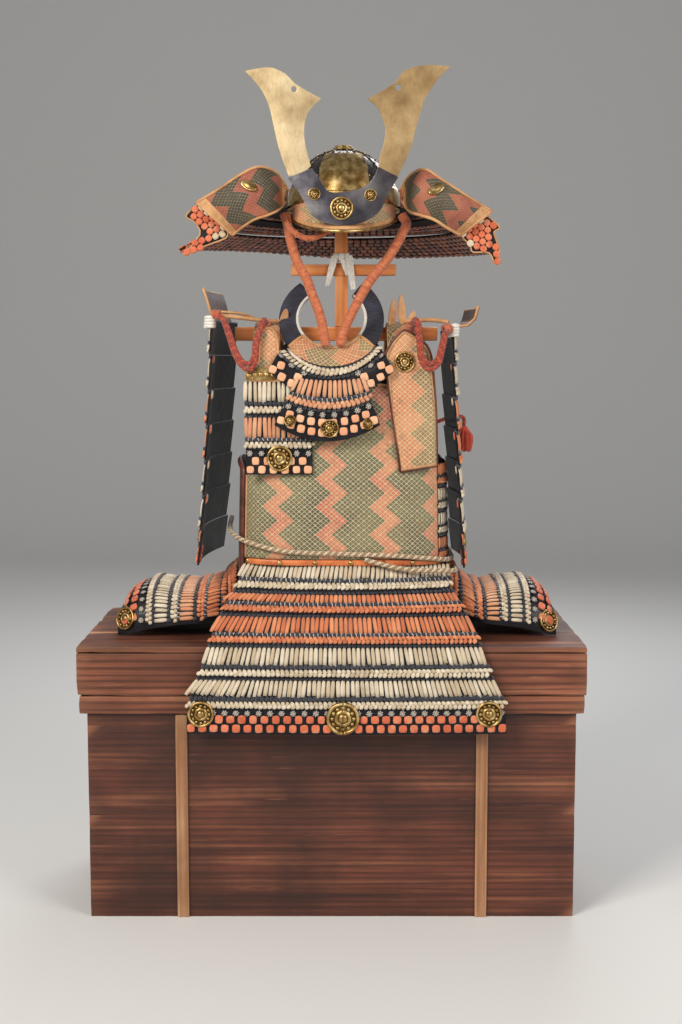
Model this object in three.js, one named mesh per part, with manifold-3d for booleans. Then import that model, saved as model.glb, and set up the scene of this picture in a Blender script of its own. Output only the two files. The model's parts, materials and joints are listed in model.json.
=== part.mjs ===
// Samurai armour on its wooden T-stand and storage chest.
// Millimetres, +Z up, the front looks along -Y, origin at the middle of the chest's foot.
import * as THREE from "three";
import Module from "manifold-3d";

const wasm = await Module();
wasm.setup();
const { Manifold, Mesh } = wasm;

// ---- sizes that drive the object ----
const GAP = 0.3; // clearance left at every seam
const CHEST = { halfX: 452, halfY: 196, rim: 504.5, board: 14 };
const LID = { halfX: 468.5, halfY: 210, bottom: 390, step: 425, top: 517, board: 12, inset: 3 };
const BATTEN = { x: 278, width: 22, thick: 5 };
const POST = { x: 17.5, width: 25, top: 1395 };
const BODY = { x: 22, halfX: 199, halfY: 145, bottom: 660, thick: 3, power: 4 };
const BRAID = 8.4; // pitch of the vertical lacing braids
const BOWL = { x: 22, y: 0, radius: 105, rim: 1328, height: 106, hole: 14, plates: 18, thick: 2.5 };
const GUARD = { y: -14, thick: 3 };

const COLOUR = {
  wood: 0x6b4a38, batten: 0x8a6a50, stand: 0x8c4a2c, leather: 0xb98a54, print: 0x9aa088,
  lacquer: 0x1c1a20, orange: 0xc8501e, cream: 0xe6dcc4, gold: 0xd8b868, brass: 0xb89048,
  steel: 0x2c2c30, white: 0xe8e4da, navy: 0x20222e,
};

const part = new THREE.Group();

// ---- making solids ----

// A closed surface from points and faces of three or four corners, turned to face outwards.
function solid(points, faces) {
  const tris = faces.flatMap((f) => (f.length === 3 ? [f] : [[f[0], f[1], f[2]], [f[0], f[2], f[3]]]));
  const volume = tris.reduce((sum, [a, b, c]) => {
    const [p, q, r] = [points[a], points[b], points[c]];
    return sum + p[0] * (q[1] * r[2] - q[2] * r[1]) + p[1] * (q[2] * r[0] - q[0] * r[2])
      + p[2] * (q[0] * r[1] - q[1] * r[0]);
  }, 0);
  const index = tris.flatMap(([a, b, c]) => (volume < 0 ? [a, c, b] : [a, b, c]));
  const g = new THREE.BufferGeometry();
  g.setAttribute("position", new THREE.Float32BufferAttribute(points.flat(), 3));
  g.setIndex(index);
  return g;
}

// A wall between two grids of points; a ring closes on itself along its rows.
function shell(outer, inner, ring = false) {
  const rows = outer.length, cols = outer[0].length, faces = [];
  const id = (side, r, c) => (side * rows + r) * cols + (c % cols);
  const last = ring ? cols : cols - 1, R = rows - 1, C = cols - 1;
  for (let r = 0; r < R; r++)
    for (let c = 0; c < last; c++) {
      faces.push([id(0, r, c), id(0, r, c + 1), id(0, r + 1, c + 1), id(0, r + 1, c)]);
      faces.push([id(1, r, c), id(1, r + 1, c), id(1, r + 1, c + 1), id(1, r, c + 1)]);
    }
  for (let c = 0; c < last; c++) {
    faces.push([id(0, 0, c), id(1, 0, c), id(1, 0, c + 1), id(0, 0, c + 1)]);
    faces.push([id(0, R, c), id(0, R, c + 1), id(1, R, c + 1), id(1, R, c)]);
  }
  if (!ring)
    for (let r = 0; r < R; r++) {
      faces.push([id(0, r, 0), id(0, r + 1, 0), id(1, r + 1, 0), id(1, r, 0)]);
      faces.push([id(0, r, C), id(1, r, C), id(1, r + 1, C), id(0, r + 1, C)]);
    }
  return solid([...outer.flat(), ...inner.flat()], faces);
}

// The same grid moved along its own normals.
function offset(grid, by) {
  const R = grid.length - 1, C = grid[0].length - 1;
  const v = (p) => new THREE.Vector3(...p);
  return grid.map((row, r) => row.map((p, c) => {
    const along = v(row[Math.min(c + 1, C)]).sub(v(row[Math.max(c - 1, 0)]));
    const down = v(grid[Math.min(r + 1, R)][c]).sub(v(grid[Math.max(r - 1, 0)][c]));
    const n = along.cross(down).normalize().multiplyScalar(by);
    return [p[0] + n.x, p[1] + n.y, p[2] + n.z];
  }));
}
const sheet = (grid, thick) => shell(offset(grid, thick / 2), offset(grid, -thick / 2));

// A solid between closed sections of equal length; the caps are filled in the plane given.
function loft(sections, axes = [0, 1]) {
  const n = sections[0].length, last = sections.length - 1, faces = [];
  for (let s = 0; s < last; s++)
    for (let k = 0; k < n; k++) {
      const m = (k + 1) % n;
      faces.push([s * n + k, s * n + m, (s + 1) * n + m, (s + 1) * n + k]);
    }
  const flat = (sec) => sec.map((p) => new THREE.Vector2(p[axes[0]], p[axes[1]]));
  const cap = (sec) => THREE.ShapeUtils.triangulateShape(flat(sec), []);
  const turned = THREE.ShapeUtils.isClockWise(flat(sections[0]));
  // triangulateShape keeps the order of the outline, so one cap is turned over
  for (const [a, b, c] of cap(sections[0])) faces.push(turned ? [a, c, b] : [a, c, b]);
  for (const [a, b, c] of cap(sections[last])) faces.push([last * n + a, last * n + b, last * n + c]);
  return solid(sections.flat(), faces);
}

// A plate cut to an outline of x,z pairs, standing at y, with round holes.
function plate(outline, y, thick, holes = []) {
  const shape = new THREE.Shape(outline.map(([x, z]) => new THREE.Vector2(x, z)));
  for (const { x, z, r } of holes) {
    const ring = Array.from({ length: 10 }, (_, k) => new THREE.Vector2(
      x + r * Math.cos((k * Math.PI) / 5), z + r * Math.sin((k * Math.PI) / 5)));
    shape.holes.push(new THREE.Path(ring));
  }
  const g = new THREE.ExtrudeGeometry(shape, { depth: thick, steps: 1, bevelEnabled: false });
  return g.rotateX(Math.PI / 2).translate(0, y + thick, 0);
}

// A turned solid from a profile of radius,height pairs that starts and ends on the axis.
function turned(profile, sides) {
  const rings = profile.slice(1, -1), points = [[0, 0, profile[0][1]]], faces = [];
  for (const [r, z] of rings)
    for (let k = 0; k < sides; k++) {
      const a = (2 * Math.PI * k) / sides;
      points.push([r * Math.cos(a), r * Math.sin(a), z]);
    }
  points.push([0, 0, profile.at(-1)[1]]);
  const id = (j, k) => 1 + j * sides + (k % sides), top = points.length - 1, J = rings.length - 1;
  for (let k = 0; k < sides; k++) {
    faces.push([0, id(0, k + 1), id(0, k)]);
    for (let j = 0; j < J; j++) faces.push([id(j, k), id(j, k + 1), id(j + 1, k + 1), id(j + 1, k)]);
    faces.push([id(J, k), id(J, k + 1), top]);
  }
  return solid(points, faces);
}

// A round cord along a path of points.
function cord(points, radius, steps, sides = 8) {
  const path = new THREE.CatmullRomCurve3(points.map((p) => new THREE.Vector3(...p)));
  const ring = Array.from({ length: sides }, (_, k) => new THREE.Vector2(
    radius * Math.cos((2 * Math.PI * k) / sides), radius * Math.sin((2 * Math.PI * k) / sides)));
  return new THREE.ExtrudeGeometry(new THREE.Shape(ring), { steps, bevelEnabled: false,
      extrudePath: path });
}

const box = (x0, x1, y0, y1, z0, z1) =>
  new THREE.BoxGeometry(x1 - x0, y1 - y0, z1 - z0).translate((x0 + x1) / 2, (y0 + y1) / 2, (z0 + z1) / 2);

// Between the library's geometry and exact solids, for joins and cuts.
function exact(geometry) {
  const g = geometry.index ? geometry.toNonIndexed() : geometry;
  const p = g.attributes.position, seen = new Map(), verts = [], tris = [];
  for (let i = 0; i < p.count; i++) {
    const key = [p.getX(i), p.getY(i), p.getZ(i)].map((n) => Math.round(n * 1e3)).join();
    if (!seen.has(key)) {
      seen.set(key, verts.length / 3);
      verts.push(p.getX(i), p.getY(i), p.getZ(i));
    }
    tris.push(seen.get(key));
  }
  return new Manifold(new Mesh({ numProp: 3, vertProperties: new Float32Array(verts),
      triVerts: new Uint32Array(tris) }));
}
function plain(manifold) {
  const m = manifold.getMesh(), g = new THREE.BufferGeometry();
  g.setAttribute("position", new THREE.BufferAttribute(new Float32Array(m.vertProperties), 3));
  return g.setIndex(new THREE.BufferAttribute(new Uint32Array(m.triVerts), 1));
}
const joined = (...list) => plain(list.map(exact).reduce((a, b) => a.add(b)));
const cut = (from, ...tools) => plain(tools.map(exact).reduce((a, b) => a.subtract(b), exact(from)));

function add(name, geometry, colour) {
  const mesh = new THREE.Mesh(geometry, new THREE.MeshStandardMaterial({ color: COLOUR[colour],
      roughness: 0.6 }));
  mesh.name = name;
  part.add(mesh);
  return mesh;
}

// Straight lines through a table of rows: the value of a column at a place in its first column.
function between(table, key, at, column) {
  const k = Math.max(1, Math.min(table.length - 1, table.findIndex((row, n) => n > 0
    && (row[key] - at) * (table[0][key] < table.at(-1)[key] ? 1 : -1) >= 0)));
  const [p, q] = [table[k - 1], table[k]], t = (at - p[key]) / (q[key] - p[key] || 1);
  return p[column] + (q[column] - p[column]) * Math.min(1, Math.max(0, t));
}
const steps = (n) => Array.from({ length: n + 1 }, (_, k) => k / n);
const rad = (deg) => (deg * Math.PI) / 180;

// A domed metal boss, its back at the point given and its face towards the direction given.
function boss(x, y, z, radius, towards, depth = 3.5, sides = 16) {
  const g = turned([[0, 0], [radius, 0], [radius, depth * 0.6], [radius * 0.82, depth],
    [radius * 0.35, depth * 0.7], [0, depth * 1.3]], sides);
  const q = new THREE.Quaternion().setFromUnitVectors(new THREE.Vector3(0, 0, 1),
      new THREE.Vector3(...towards).normalize());
  return g.applyQuaternion(q).translate(x, y, z);
}

// ---- chest: an open box of boards, a cap lid and two upright battens ----
{
  const c = CHEST, b = c.board;
  add("chest_body", cut(box(-c.halfX, c.halfX, -c.halfY, c.halfY, 0, c.rim),
    box(-c.halfX + b, c.halfX - b, -c.halfY + b, c.halfY - b, b, c.rim + 10)), "wood");
  const l = LID, ring = (inset, z) => [[-1, -1], [1, -1], [1, 1], [-1, 1]].map(([i, j]) =>
    [i * (l.halfX - inset), j * (l.halfY - inset), z]);
  const outside = loft([ring(l.inset, l.bottom), ring(l.inset, l.step - 1), ring(0, l.step),
    ring(0, l.top - 6), ring(5, l.top)]);
  add("chest_lid", cut(outside, box(-c.halfX - 1.5, c.halfX + 1.5, -c.halfY - 1, c.halfY + 1,
    l.bottom - 10, l.top - l.board)), "wood");
  for (const [side, s] of [["left", -1], ["right", 1]])
    add("chest_batten_" + side, box(s * BATTEN.x - BATTEN.width / 2, s * BATTEN.x + BATTEN.width / 2,
        -c.halfY - GAP - BATTEN.thick,
      -c.halfY - GAP, 0, l.bottom - 2), "batten");
}


// ---- stand: a turned base on the lid, an upright post, two cross bars and a rest for the helmet ----
{
  const z = LID.top + GAP, w = POST.width / 2, x = POST.x;
  add("stand_base", box(x - 120, x + 120, -80, 80, z, z + 30), "stand");
  const bars = { shoulder: [-188, 203, 1074, 1101], head: [-79, 123, 1198, 1220] };
  const bar = ([x0, x1, z0, z1], grow = 0) => box(x0 - grow, x1 + grow, -11 - grow, 11 + grow, z0 - grow,
      z1 + grow);
  add("stand_post", cut(box(x - w, x + w, -w, w, z + 30 + GAP, POST.top), bar(bars.shoulder, GAP),
      bar(bars.head, GAP)
  ), "stand");
  for (const [name, b] of Object.entries(bars)) add(name + "_bar", bar(b), "stand");
  const inside = (r) => BOWL.rim + (BOWL.height - 2.5) * Math.sqrt(1 - (r / (BOWL.radius - 2.5)) ** 2) - 1.6;
  add("helmet_rest", turned([[0, POST.top + GAP], [30, POST.top + GAP], [46, inside(46) - 12], [40,
      inside(46) - 4],
    [22, inside(22)], [0, inside(22)]], 20).translate(BOWL.x, BOWL.y, 0), "stand");
}

// ---- cuirass: one wall of laced lames wrapped round front, right side and back ----
// Height of its upper edge, by direction seen from above (-90 is the front, 0 the right side).
const TOP_EDGE = [
  { at: -154, z: 850 }, { at: -134, z: 862 }, { at: -118, z: 930 }, { at: -106, z: 994 }, { at: -90,
      z: 1000 },
  { at: -74, z: 994 }, { at: -62, z: 930 }, { at: -46, z: 862 }, { at: 0, z: 846 }, { at: 38, z: 862 },
  { at: 46, z: 984 }, { at: 62, z: 996 }, { at: 90, z: 1010 }, { at: 118, z: 996 }, { at: 134, z: 984 },
  { at: 142, z: 862 }, { at: 154, z: 850 },
];
function waist(deg, z, grow = 0) {
  const b = BODY, rise = Math.max(0, z - b.bottom) / 340, e = 2 / b.power;
  const [c, s] = [Math.cos(rad(deg)), Math.sin(rad(deg))];
  return [b.x + (b.halfX * (1 - 0.04 * rise) + grow) * Math.sign(c) * Math.abs(c) ** e,
    (b.halfY * (1 - 0.1 * rise ** 2) + grow) * Math.sign(s) * Math.abs(s) ** e, z];
}
function wrap(from, to, count, low, high, rows, inner, outer) {
  const grid = (grow) => steps(rows).map((v) => steps(count).map((u) => {
    const deg = from + (to - from) * u, top = typeof high === "function" ? high(deg) : high;
    const bottom = typeof low === "function" ? low(deg) : low;
    return waist(deg, bottom + (top - bottom) * v, grow);
  }));
  return shell(grid(outer), grid(inner));
}
const edge = (deg) => between(TOP_EDGE, "at", deg, "z");
add("cuirass_wrap", wrap(-154, 154, 40, BODY.bottom, edge, 2, -BODY.thick, 0), "lacquer");
add("breast_leather", wrap(-146.3, -38.5, 14, BODY.bottom + 9, (d) => edge(d) - 5, 2, 0.7, 2.4), "print");
add("waist_band", wrap(-146.3, -23.1, 16, BODY.bottom - 3, BODY.bottom + 8, 1, 0.5, 3.4), "orange");
add("side_plate", wrap(151, 209, 8, (d) => 590 + 12 * Math.cos(rad(5 * (d - 182))), (d) =>
  820 + 34 * Math.cos(rad(2.4 * (d - 182))), 4, 1.2, 4.2), "leather");

// Two padded straps from the back, over the shoulder bar, down to the breast.
const STRAP = [[129, 975], [138, 1014], [120, 1060], [60, 1097], [14, 1103.9], [-14, 1103.9], [-44,
    1099.5], [-88, 1076], [-118, 1024]];
for (const [side, x] of [["left", -122], ["right", 128]])
  add("shoulder_strap_" + side, sheet(STRAP.map(([y, z]) => [-23, 23].map((w) => [x + w,
      y + (side === "right" && z < 980 ? 4.5 : 0), z])), 5), "leather");

// ---- laced skirts ----
// The fall of the front skirt: distance forward, how far its ends curve back, and its two ends.
const FALL = [
  { z: 659.5, y: -146, sag: 34, left: -162, right: 217 }, { z: 616, y: -176, sag: 28, left: -178,
      right: 219 },
  { z: 578, y: -205, sag: 20, left: -201, right: 243 }, { z: 531, y: -229, sag: 9, left: -220, right: 265 },
  { z: 478, y: -234, sag: 8, left: -237, right: 284 }, { z: 410, y: -238, sag: 8, left: -264, right: 316 },
  { z: 361, y: -240, sag: 8, left: -264, right: 319 },
];
const LAMES = [ // top of the lacing and bottom of the board
  { lace: 656.6, bottom: 611 }, { lace: 610.7, bottom: 572 }, { lace: 571.7, bottom: 520.5 },
  { lace: 520.2, bottom: 460.5 }, { lace: 460.2, bottom: 361 },
];
function fallPoint(z, u, out, ends) {
  const [y, sag, l, r] = ["y", "sag", "left", "right"].map((c) => between(FALL, "z", z, c));
  const [a, b] = ends ? ends(l, r) : [l, r], x = a + (b - a) * u, m = (2 * (x - l)) / (r - l) - 1;
  return [x, y + sag * m * m - out, z];
}
// One lame: ribbed by its lacing, its lower edge standing out over the top of the next one.
function lame({ lace, bottom }, ends, tuck = 3) {
  const wide = fallPoint(bottom, 1, 0, ends)[0] - fallPoint(bottom, 0, 0, ends)[0],
      ribs = Math.round(wide / BRAID);
  const section = (z, out) => [...steps(ribs * 2).map((u, k) => fallPoint(z, u, out + (k % 2 ? 1.6 : 0),
      ends)),
    ...steps(6).reverse().map((u) => fallPoint(z, u, out - 3.4, ends))];
  return loft([section(bottom, 3), section(lace, -tuck)]);
}
LAMES.slice(0, 4).forEach((row, k) => add("skirt_front_" + (k + 1), lame(row), "lacquer"));
{
  const last = LAMES[4], mid = 20.5, z = 392;
  const left = (l) => [l, mid - 0.5], right = (_, r) => [mid + 0.5, r];
  const on = (x) => fallPoint(z, (x - FALL[6].left) / (FALL[6].right - FALL[6].left), 3, null)[1] + 1;
  const halves = exact(boss(mid, on(mid), z, 30, [0, -1, 0], 4));
  const half = (x0, x1) => plain(halves.intersect(exact(box(x0, x1, -300, -200, 300, 500))));
  add("skirt_front_5_left", joined(lame(last, left), boss(-238, on(-238), z + 6, 24, [0, -1, 0]),
      half(-200, mid - 0.5)), "lacquer");
  add("skirt_front_5_right", joined(lame(last, right), boss(286, on(286), z + 6, 24, [0, -1, 0]),
      half(mid + 0.5, 200)), "lacquer");
}
// A stepped sheet: each lame's lower edge stands out over the top of the next one.
function stepped(pointAt, bands, across, thick = 3, lip = 4, ring = false) {
  const outer = [], inner = [];
  bands.slice(0, -1).forEach((from, k) => {
    const to = bands[k + 1], inset = k ? 0.35 / Math.abs(to - from) : 0;
    for (const [v, out] of [[from + (to - from) * inset, 0], [to, lip]]) {
      outer.push(steps(across).map((u) => pointAt(u, v, out)));
      inner.push(steps(across).map((u) => pointAt(u, v, -thick)));
    }
  });
  return shell(outer, inner, ring);
}
{
  const rows = [659.6, 611, 572, 520.5, 460.5, 361];
  add("skirt_back", stepped((u, z, out) => {
    const [x, y] = fallPoint(z, u, out - 4, null);
    return [x, -y, z];
  }, rows, 10), "lacquer");
}
// The side skirts arch over the lid: the height of the arch and its two feet at each distance out.
const ARCH = {
  left: [{ x: -182.3, top: 650, front: -88, back: 112, foot: 566 }, { x: -214, top: 616, front: -116,
      back: 130, foot: 548 },
    { x: -252, top: 605, front: -124, back: 136, foot: 544 }, { x: -300, top: 605, front: -124, back: 136,
        foot: 540 },
    { x: -338, top: 611, front: -120, back: 132, foot: 534 }, { x: -368, top: 602, front: -114, back: 126,
        foot: 526 },
    { x: -392, top: 586, front: -108, back: 120, foot: 519.5 }, { x: -407, top: 562, front: -100,
        back: 112, foot: 517.7 }],
  right: [{ x: 219.8, top: 659.4, front: -88, back: 112, foot: 566 }, { x: 258, top: 612, front: -116,
      back: 130, foot: 548 },
    { x: 290, top: 602, front: -124, back: 136, foot: 544 }, { x: 322, top: 609, front: -124, back: 136,
        foot: 540 },
    { x: 360, top: 614, front: -120, back: 132, foot: 534 }, { x: 390, top: 608, front: -114, back: 126,
        foot: 526 },
    { x: 412, top: 590, front: -108, back: 120, foot: 519.5 }, { x: 426, top: 564, front: -100, back: 112,
        foot: 517.7 }],
};
for (const [side, rows] of Object.entries(ARCH)) {
  const first = rows[0].x, far = rows.at(-1).x, s = Math.sign(far);
  const at = (u, x, out) => {
    const get = (c) => between(rows, "x", x, c), t = rad(180 * (1 - u));
    const [top, front, back, foot] = ["top", "front", "back", "foot"].map(get);
    const c = Math.cos(t), e = 0.72, h = Math.sin(t) ** e;
    return [x + s * out * 0.3,
        (front + back) / 2 + ((back - front) / 2 + out * 0.4) * Math.sign(c) * Math.abs(c) ** e,
      foot + (top - foot + out) * Math.max(0, h)];
  };
  const bands = [first, ...[0.11, 0.33, 0.55, 0.76, 0.9].map((f) => first + (far - first) * f), far];
  const body = stepped(at, bands, 10, 2.6, 2.4);
  const x = far - s * 14, [, fy] = at(0.05, x, 0);
  add("skirt_" + side, joined(body, boss(x, fy + 4, s < 0 ? 550 : 546, 22, [s * 0.7, -1, 0.3])), "lacquer");
}

// ---- sode: two big laced shoulder guards, each with a dark curved top plate ----
const SODE = {
  left: [{ z: 1112, x: -222, front: -116, back: 150 }, { z: 1000, x: -226, front: -118, back: 146 },
    { z: 800, x: -238, front: -120, back: 150 }, { z: 655, x: -250, front: -124, back: 152 }],
  right: [{ z: 1096, x: 224, front: -116, back: 150 }, { z: 1000, x: 226, front: -118, back: 146 },
    { z: 800, x: 238, front: -120, back: 150 }, { z: 650, x: 246, front: -124, back: 152 }],
};
const SODE_CAP = {
  left: [{ z: 1110.8, x: -220.5 }, { z: 1130, x: -227 }, { z: 1149, x: -232 }, { z: 1166, x: -238 }],
  right: [{ z: 1096.2, x: 221 }, { z: 1097, x: 248 }, { z: 1112, x: 265 }, { z: 1134, x: 271 }],
};
for (const [side, rows] of Object.entries(SODE)) {
  const s = side === "left" ? -1 : 1,
      turn = side === "left" ? 26 : 2; // the rear edge stands nearer the body
  const at = (u, z, out) => {
    const [x, front, back] = ["x", "front", "back"].map((c) => between(rows, "z", z, c));
    return [x + s * (out + 12 * Math.sin(Math.PI * u)) - s * turn * u, front + (back - front) * u, z];
  };
  const top = rows[0].z, bottom = rows.at(-1).z, bands = steps(7).map((f) => top + (bottom - top) * f);
  const panel = stepped(at, bands, 6, 3, 4);
  const [bx, by] = at(0.12, bottom + 42, 3);
  add("sode_" + side, joined(panel, boss(bx, by, bottom + 42, 22, [s, -0.12, 0])), "lacquer");
  const cap = SODE_CAP[side].map(({ z, x }) => steps(8).map((u) =>
    [x + s * 12 * Math.sin(Math.PI * u) - s * (turn / 2) * u, -116 + 266 * u, z + 2]));
  add("sode_top_" + side, sheet(cap, 3), "lacquer");
}

// ---- breast plates in front of the arm openings ----
{
  const y = -147.7;
  // left: a lacquered panel of three laced lames below a rounded leather-faced top
  const lames = [{ lace: 999, board: 962, bottom: 936 }, { lace: 935, board: 896, bottom: 872 },
      { lace: 871, board: 866, bottom: 828 }];
  const strip = ({ lace, board, bottom }) => [box(-158, -36, y - 1.5, y + 2.5, board - 1, lace + 0.5),
    box(-158, -36, y - 4, y + 2.5, bottom, board)];
  add("sendan_panel", joined(...lames.flatMap(strip), box(-150, -44, y + 2, y + 4, 832, 997),
    boss(-96, y - 3, 858, 24, [0, -1, 0])), "lacquer");
  add("sendan_top", plate([[-158, 1000], [-36, 1000], [-40, 1012], [-96, 1018], [-100, 1082], [-110,
      1096], [-122, 1096],
    [-132, 1082], [-133, 1034], [-146, 1030], [-156, 1016]], y - 1, 3), "gold");
  // right: one solid leather-faced plate, tall and narrow
  const outline = [[127, 832], [195, 843], [192, 950], [184, 1040], [176, 1064], [152, 1084], [132, 1094],
      [112, 1074], [96, 1046],
    [108, 960]];
  add("kyubi_plate", joined(plate(outline, y + 3.7, 3), boss(134, y + 4.2, 1035, 19, [0, -1, 0])), "print");
}

// ---- throat guard: a tilted collar, a leather-faced plate and two laced lames ----
const COLLAR = { x: -1, y: -40, rise: 0.8, inner: [64, 70], outer: [100, 112] };
{
  const at = (deg, f, lift) => {
    const [a, b] = [0, 1].map((k) => COLLAR.inner[k] + (COLLAR.outer[k] - COLLAR.inner[k]) * f);
    const y = COLLAR.y + b * Math.sin(rad(deg));
    return [COLLAR.x + a * Math.cos(rad(deg)), y - lift * 0.62,
        1060 + COLLAR.rise * (y + 110) - 6 * (f - 0.5) ** 2 + lift * 0.78];
  };
  const ring = (from, to, n, f0, f1, low, high) => {
    const grid = (lift) => steps(2).map((v) => steps(n).map((u) => at(from + (to - from) * u,
        f0 + (f1 - f0) * v, lift)));
    return shell(grid(high), grid(low));
  };
  add("throat_collar", ring(-232, 52, 30, 0, 1, -4, 4), "navy");
  add("throat_plate", ring(-142, -38, 12, 0.08, 1.06, 4.3, 6.6), "print");
}
{
  // a strip between two curved rows, its middle hanging lower and standing further forward than its ends
  const row = ({ z, left, right, drop, y }) => steps(10).map((u) => {
    const m = 2 * u - 1;
    return [left + (right - left) * u, y + 3 * m * m, z - drop * (1 - m * m)];
  });
  const strip = (top, bottom, thick) => {
    const sec = (r) => [...row(r), ...row(r).reverse().map(([x, y, z]) => [x, y + thick, z])];
    return loft([sec(bottom), sec(top)]);
  };
  add("throat_lame_1", joined(strip({ z: 1014, left: -124, right: 122, drop: 12, y: -158 }, { z: 992,
      left: -124, right: 122, drop: 14, y: -158 }, 5),
    strip({ z: 1026, left: -84, right: 84, drop: 12, y: -157 }, { z: 1002, left: -86, right: 86, drop: 8,
        y: -157 }, 4.5)), "lacquer");
  add("throat_lame_2", joined(strip({ z: 1004, left: -62, right: 57, drop: 5, y: -165 }, { z: 940,
      left: -94, right: 80, drop: 24, y: -165.5 }, 4),
    strip({ z: 950, left: -92, right: 78, drop: 22, y: -169 }, { z: 920, left: -105, right: 89, drop: 30,
        y: -169 }, 8),
    boss(-4, -168.6, 914, 17, [0, -1, 0]), boss(-76, -166.6, 928, 11, [0, -1, 0], 3.5, 12), boss(66,
        -166.6, 922, 10, [0, -1, 0], 3.5, 12)), "lacquer");
}

// ---- helmet: ribbed bowl, top ring, faced front plate, brim and neck guard ----
function dome(r, grow) { // height of the bowl's outside at a radius
  return BOWL.rim + (BOWL.height + grow) * Math.sqrt(Math.max(0, 1 - (r / (BOWL.radius + grow)) ** 2));
}
{
  const b = BOWL, cols = b.plates * 2, levels = [1, 0.97, 0.82, 0.5, b.hole / b.radius];
  const grid = (grow, ribs) => levels.map((f) => Array.from({ length: cols }, (_, k) => {
    const a = (2 * Math.PI * k) / cols, base = (b.radius + grow) * f,
        r = base * (1 + (ribs && k % 2 === 0 ? 0.018 * f : 0));
    return [b.x + r * Math.cos(a), b.y + r * Math.sin(a) * 1.08, f === 1 ? b.rim : dome(base, grow)];
  }));
  add("helmet_bowl", shell(grid(0, true), grid(-b.thick, false), true), "steel");
  const ring = (r, z) => Array.from({ length: 20 }, (_, k) => [b.x + r * Math.cos(rad(k * 18)),
      b.y + r * Math.sin(rad(k * 18)), z]);
  const top = b.rim + b.height - 0.4;
  add("helmet_ring", shell([ring(22, top), ring(20, top + 5), ring(15, top + 9)], [ring(13, top), ring(12,
      top + 5), ring(12, top + 8)],
    true), "brass");
  const patch = (grow) => steps(4).map((v) => steps(6).map((u) => {
    const f = 0.985 - 0.42 * v, a = rad(-90 + (u - 0.5) * 52 * (1 + 0.35 * v)), r = (b.radius + grow) * f;
    return [b.x + r * Math.cos(a), b.y + r * Math.sin(a) * 1.08, dome(r, grow)];
  }));
  add("helmet_front_plate", shell(patch(4.7), patch(3)), "gold");
}
// The brim: a curved visor from the bowl's rim, forward and down.
{
  const grid = steps(3).map((v) => steps(16).map((u) => {
    const a = rad(-90 + (u - 0.5) * 130), m = Math.cos((u - 0.5) * Math.PI * 0.92);
    const r0 = [BOWL.radius + 2, (BOWL.radius + 2) * 1.08], out = 58 * v * m;
    return [BOWL.x + (r0[0] + out * 0.12) * Math.cos(a), BOWL.y + (r0[1] + out) * Math.sin(a),
      BOWL.rim - 1.5 - v * (12 + 36 * m) - 10 * v * v];
  }));
  add("helmet_brim", sheet(grid, 2.6), "print");
}
// The neck guard: three widening lames, hung under the bowl's rim, each clear of the next.
const NECK = [  // lift raises the edge at the back, sweep at the back left
  { name: 1, r: [100, 166], z: [1326.3, 1310], front: 23, lift: 0, sweep: 0 },
  { name: 2, r: [160, 232], z: [1306.9, 1286], front: 16, lift: 3, sweep: 0 },
  { name: 3, r: [226, 298], z: [1283.3, 1244], front: 6, lift: 6, sweep: 12 },
];
function neckPoint({ name, r, z, lift, sweep }, deg, v) {
  const a = rad(deg), out = r[0] + (r[1] - r[0]) * v, back = Math.max(0, Math.sin(a));
  return [BOWL.x - 4 * (name - 1) + out * Math.cos(a) * 1.02,
      GUARD.y + 14 * (name === 1) + out * Math.sin(a) * (0.95 - 0.06 * back),
    z[0] + (z[1] - z[0]) * v + (lift + 2 * sweep * Math.max(0, -Math.cos(a))) * back * v];
}
for (const lame of NECK)
  add("neck_guard_" + lame.name, sheet(steps(2).map((v) => steps(20).map((u) =>
    neckPoint(lame, -lame.front + (180 + 2 * lame.front) * u, v))), GUARD.thick), "lacquer");
// The turned-back wings: an upper and a lower edge, from the bowl outwards, and how far forward they stand.
const WING = {
  left: {
    low: [[-87, 1331], [-96, 1314], [-116, 1302], [-140, 1294], [-162, 1282], [-184, 1268]],
    high: [[-81, 1351], [-102, 1380], [-134, 1388], [-166, 1374], [-207, 1349], [-250, 1328]],
  },
  right: {
    low: [[131, 1333], [143, 1310], [161, 1302], [186, 1294], [211, 1280], [239, 1268]],
    high: [[126, 1350], [143, 1374], [168, 1384], [204, 1363], [248, 1337], [296, 1312]],
  },
};
// The ends of the lower lames, turned back with the wings and showing beyond them.
const TURNED = {
  left: [[-248, 1325], [-218, 1324], [-204, 1309], [-193, 1280], [-193, 1263], [-240, 1247], [-281, 1225],
      [-241, 1270], [-252, 1292], [-274, 1302]],
  right: [[240, 1265], [245, 1294], [266, 1314], [286, 1305], [314, 1282], [299, 1274], [304, 1262], [313,
      1234], [304, 1210], [294, 1238],
    [259, 1236], [258, 1250]],
};
const ROLL = [-72, -106, -120, -122, -112, -88];
for (const [side, { low, high }] of Object.entries(WING)) {
  const s = side === "left" ? -1 : 1;
  const grid = steps(4).map((v) => [neckPoint(NECK[0], s < 0 ? 203.7 : -23.7, 1 - 0.8 * v),
      ...low.map(([x, z], k) =>
    [x + (high[k][0] - x) * v, ROLL[k] - 16 * Math.sin(Math.PI * v), z + (high[k][1] - z) * v])]);
  const [bx, bz] = side === "left" ? [-160, 1350] : [203, 1346];
  add("wing_" + side, joined(sheet(grid, 3.4), boss(bx, -133.5, bz, 14, [s * 0.1, -1, 0.25], 5, 12)),
      "print");
  add("turned_lames_" + side, plate(TURNED[side], -87.6, 3), "lacquer");
}

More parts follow.
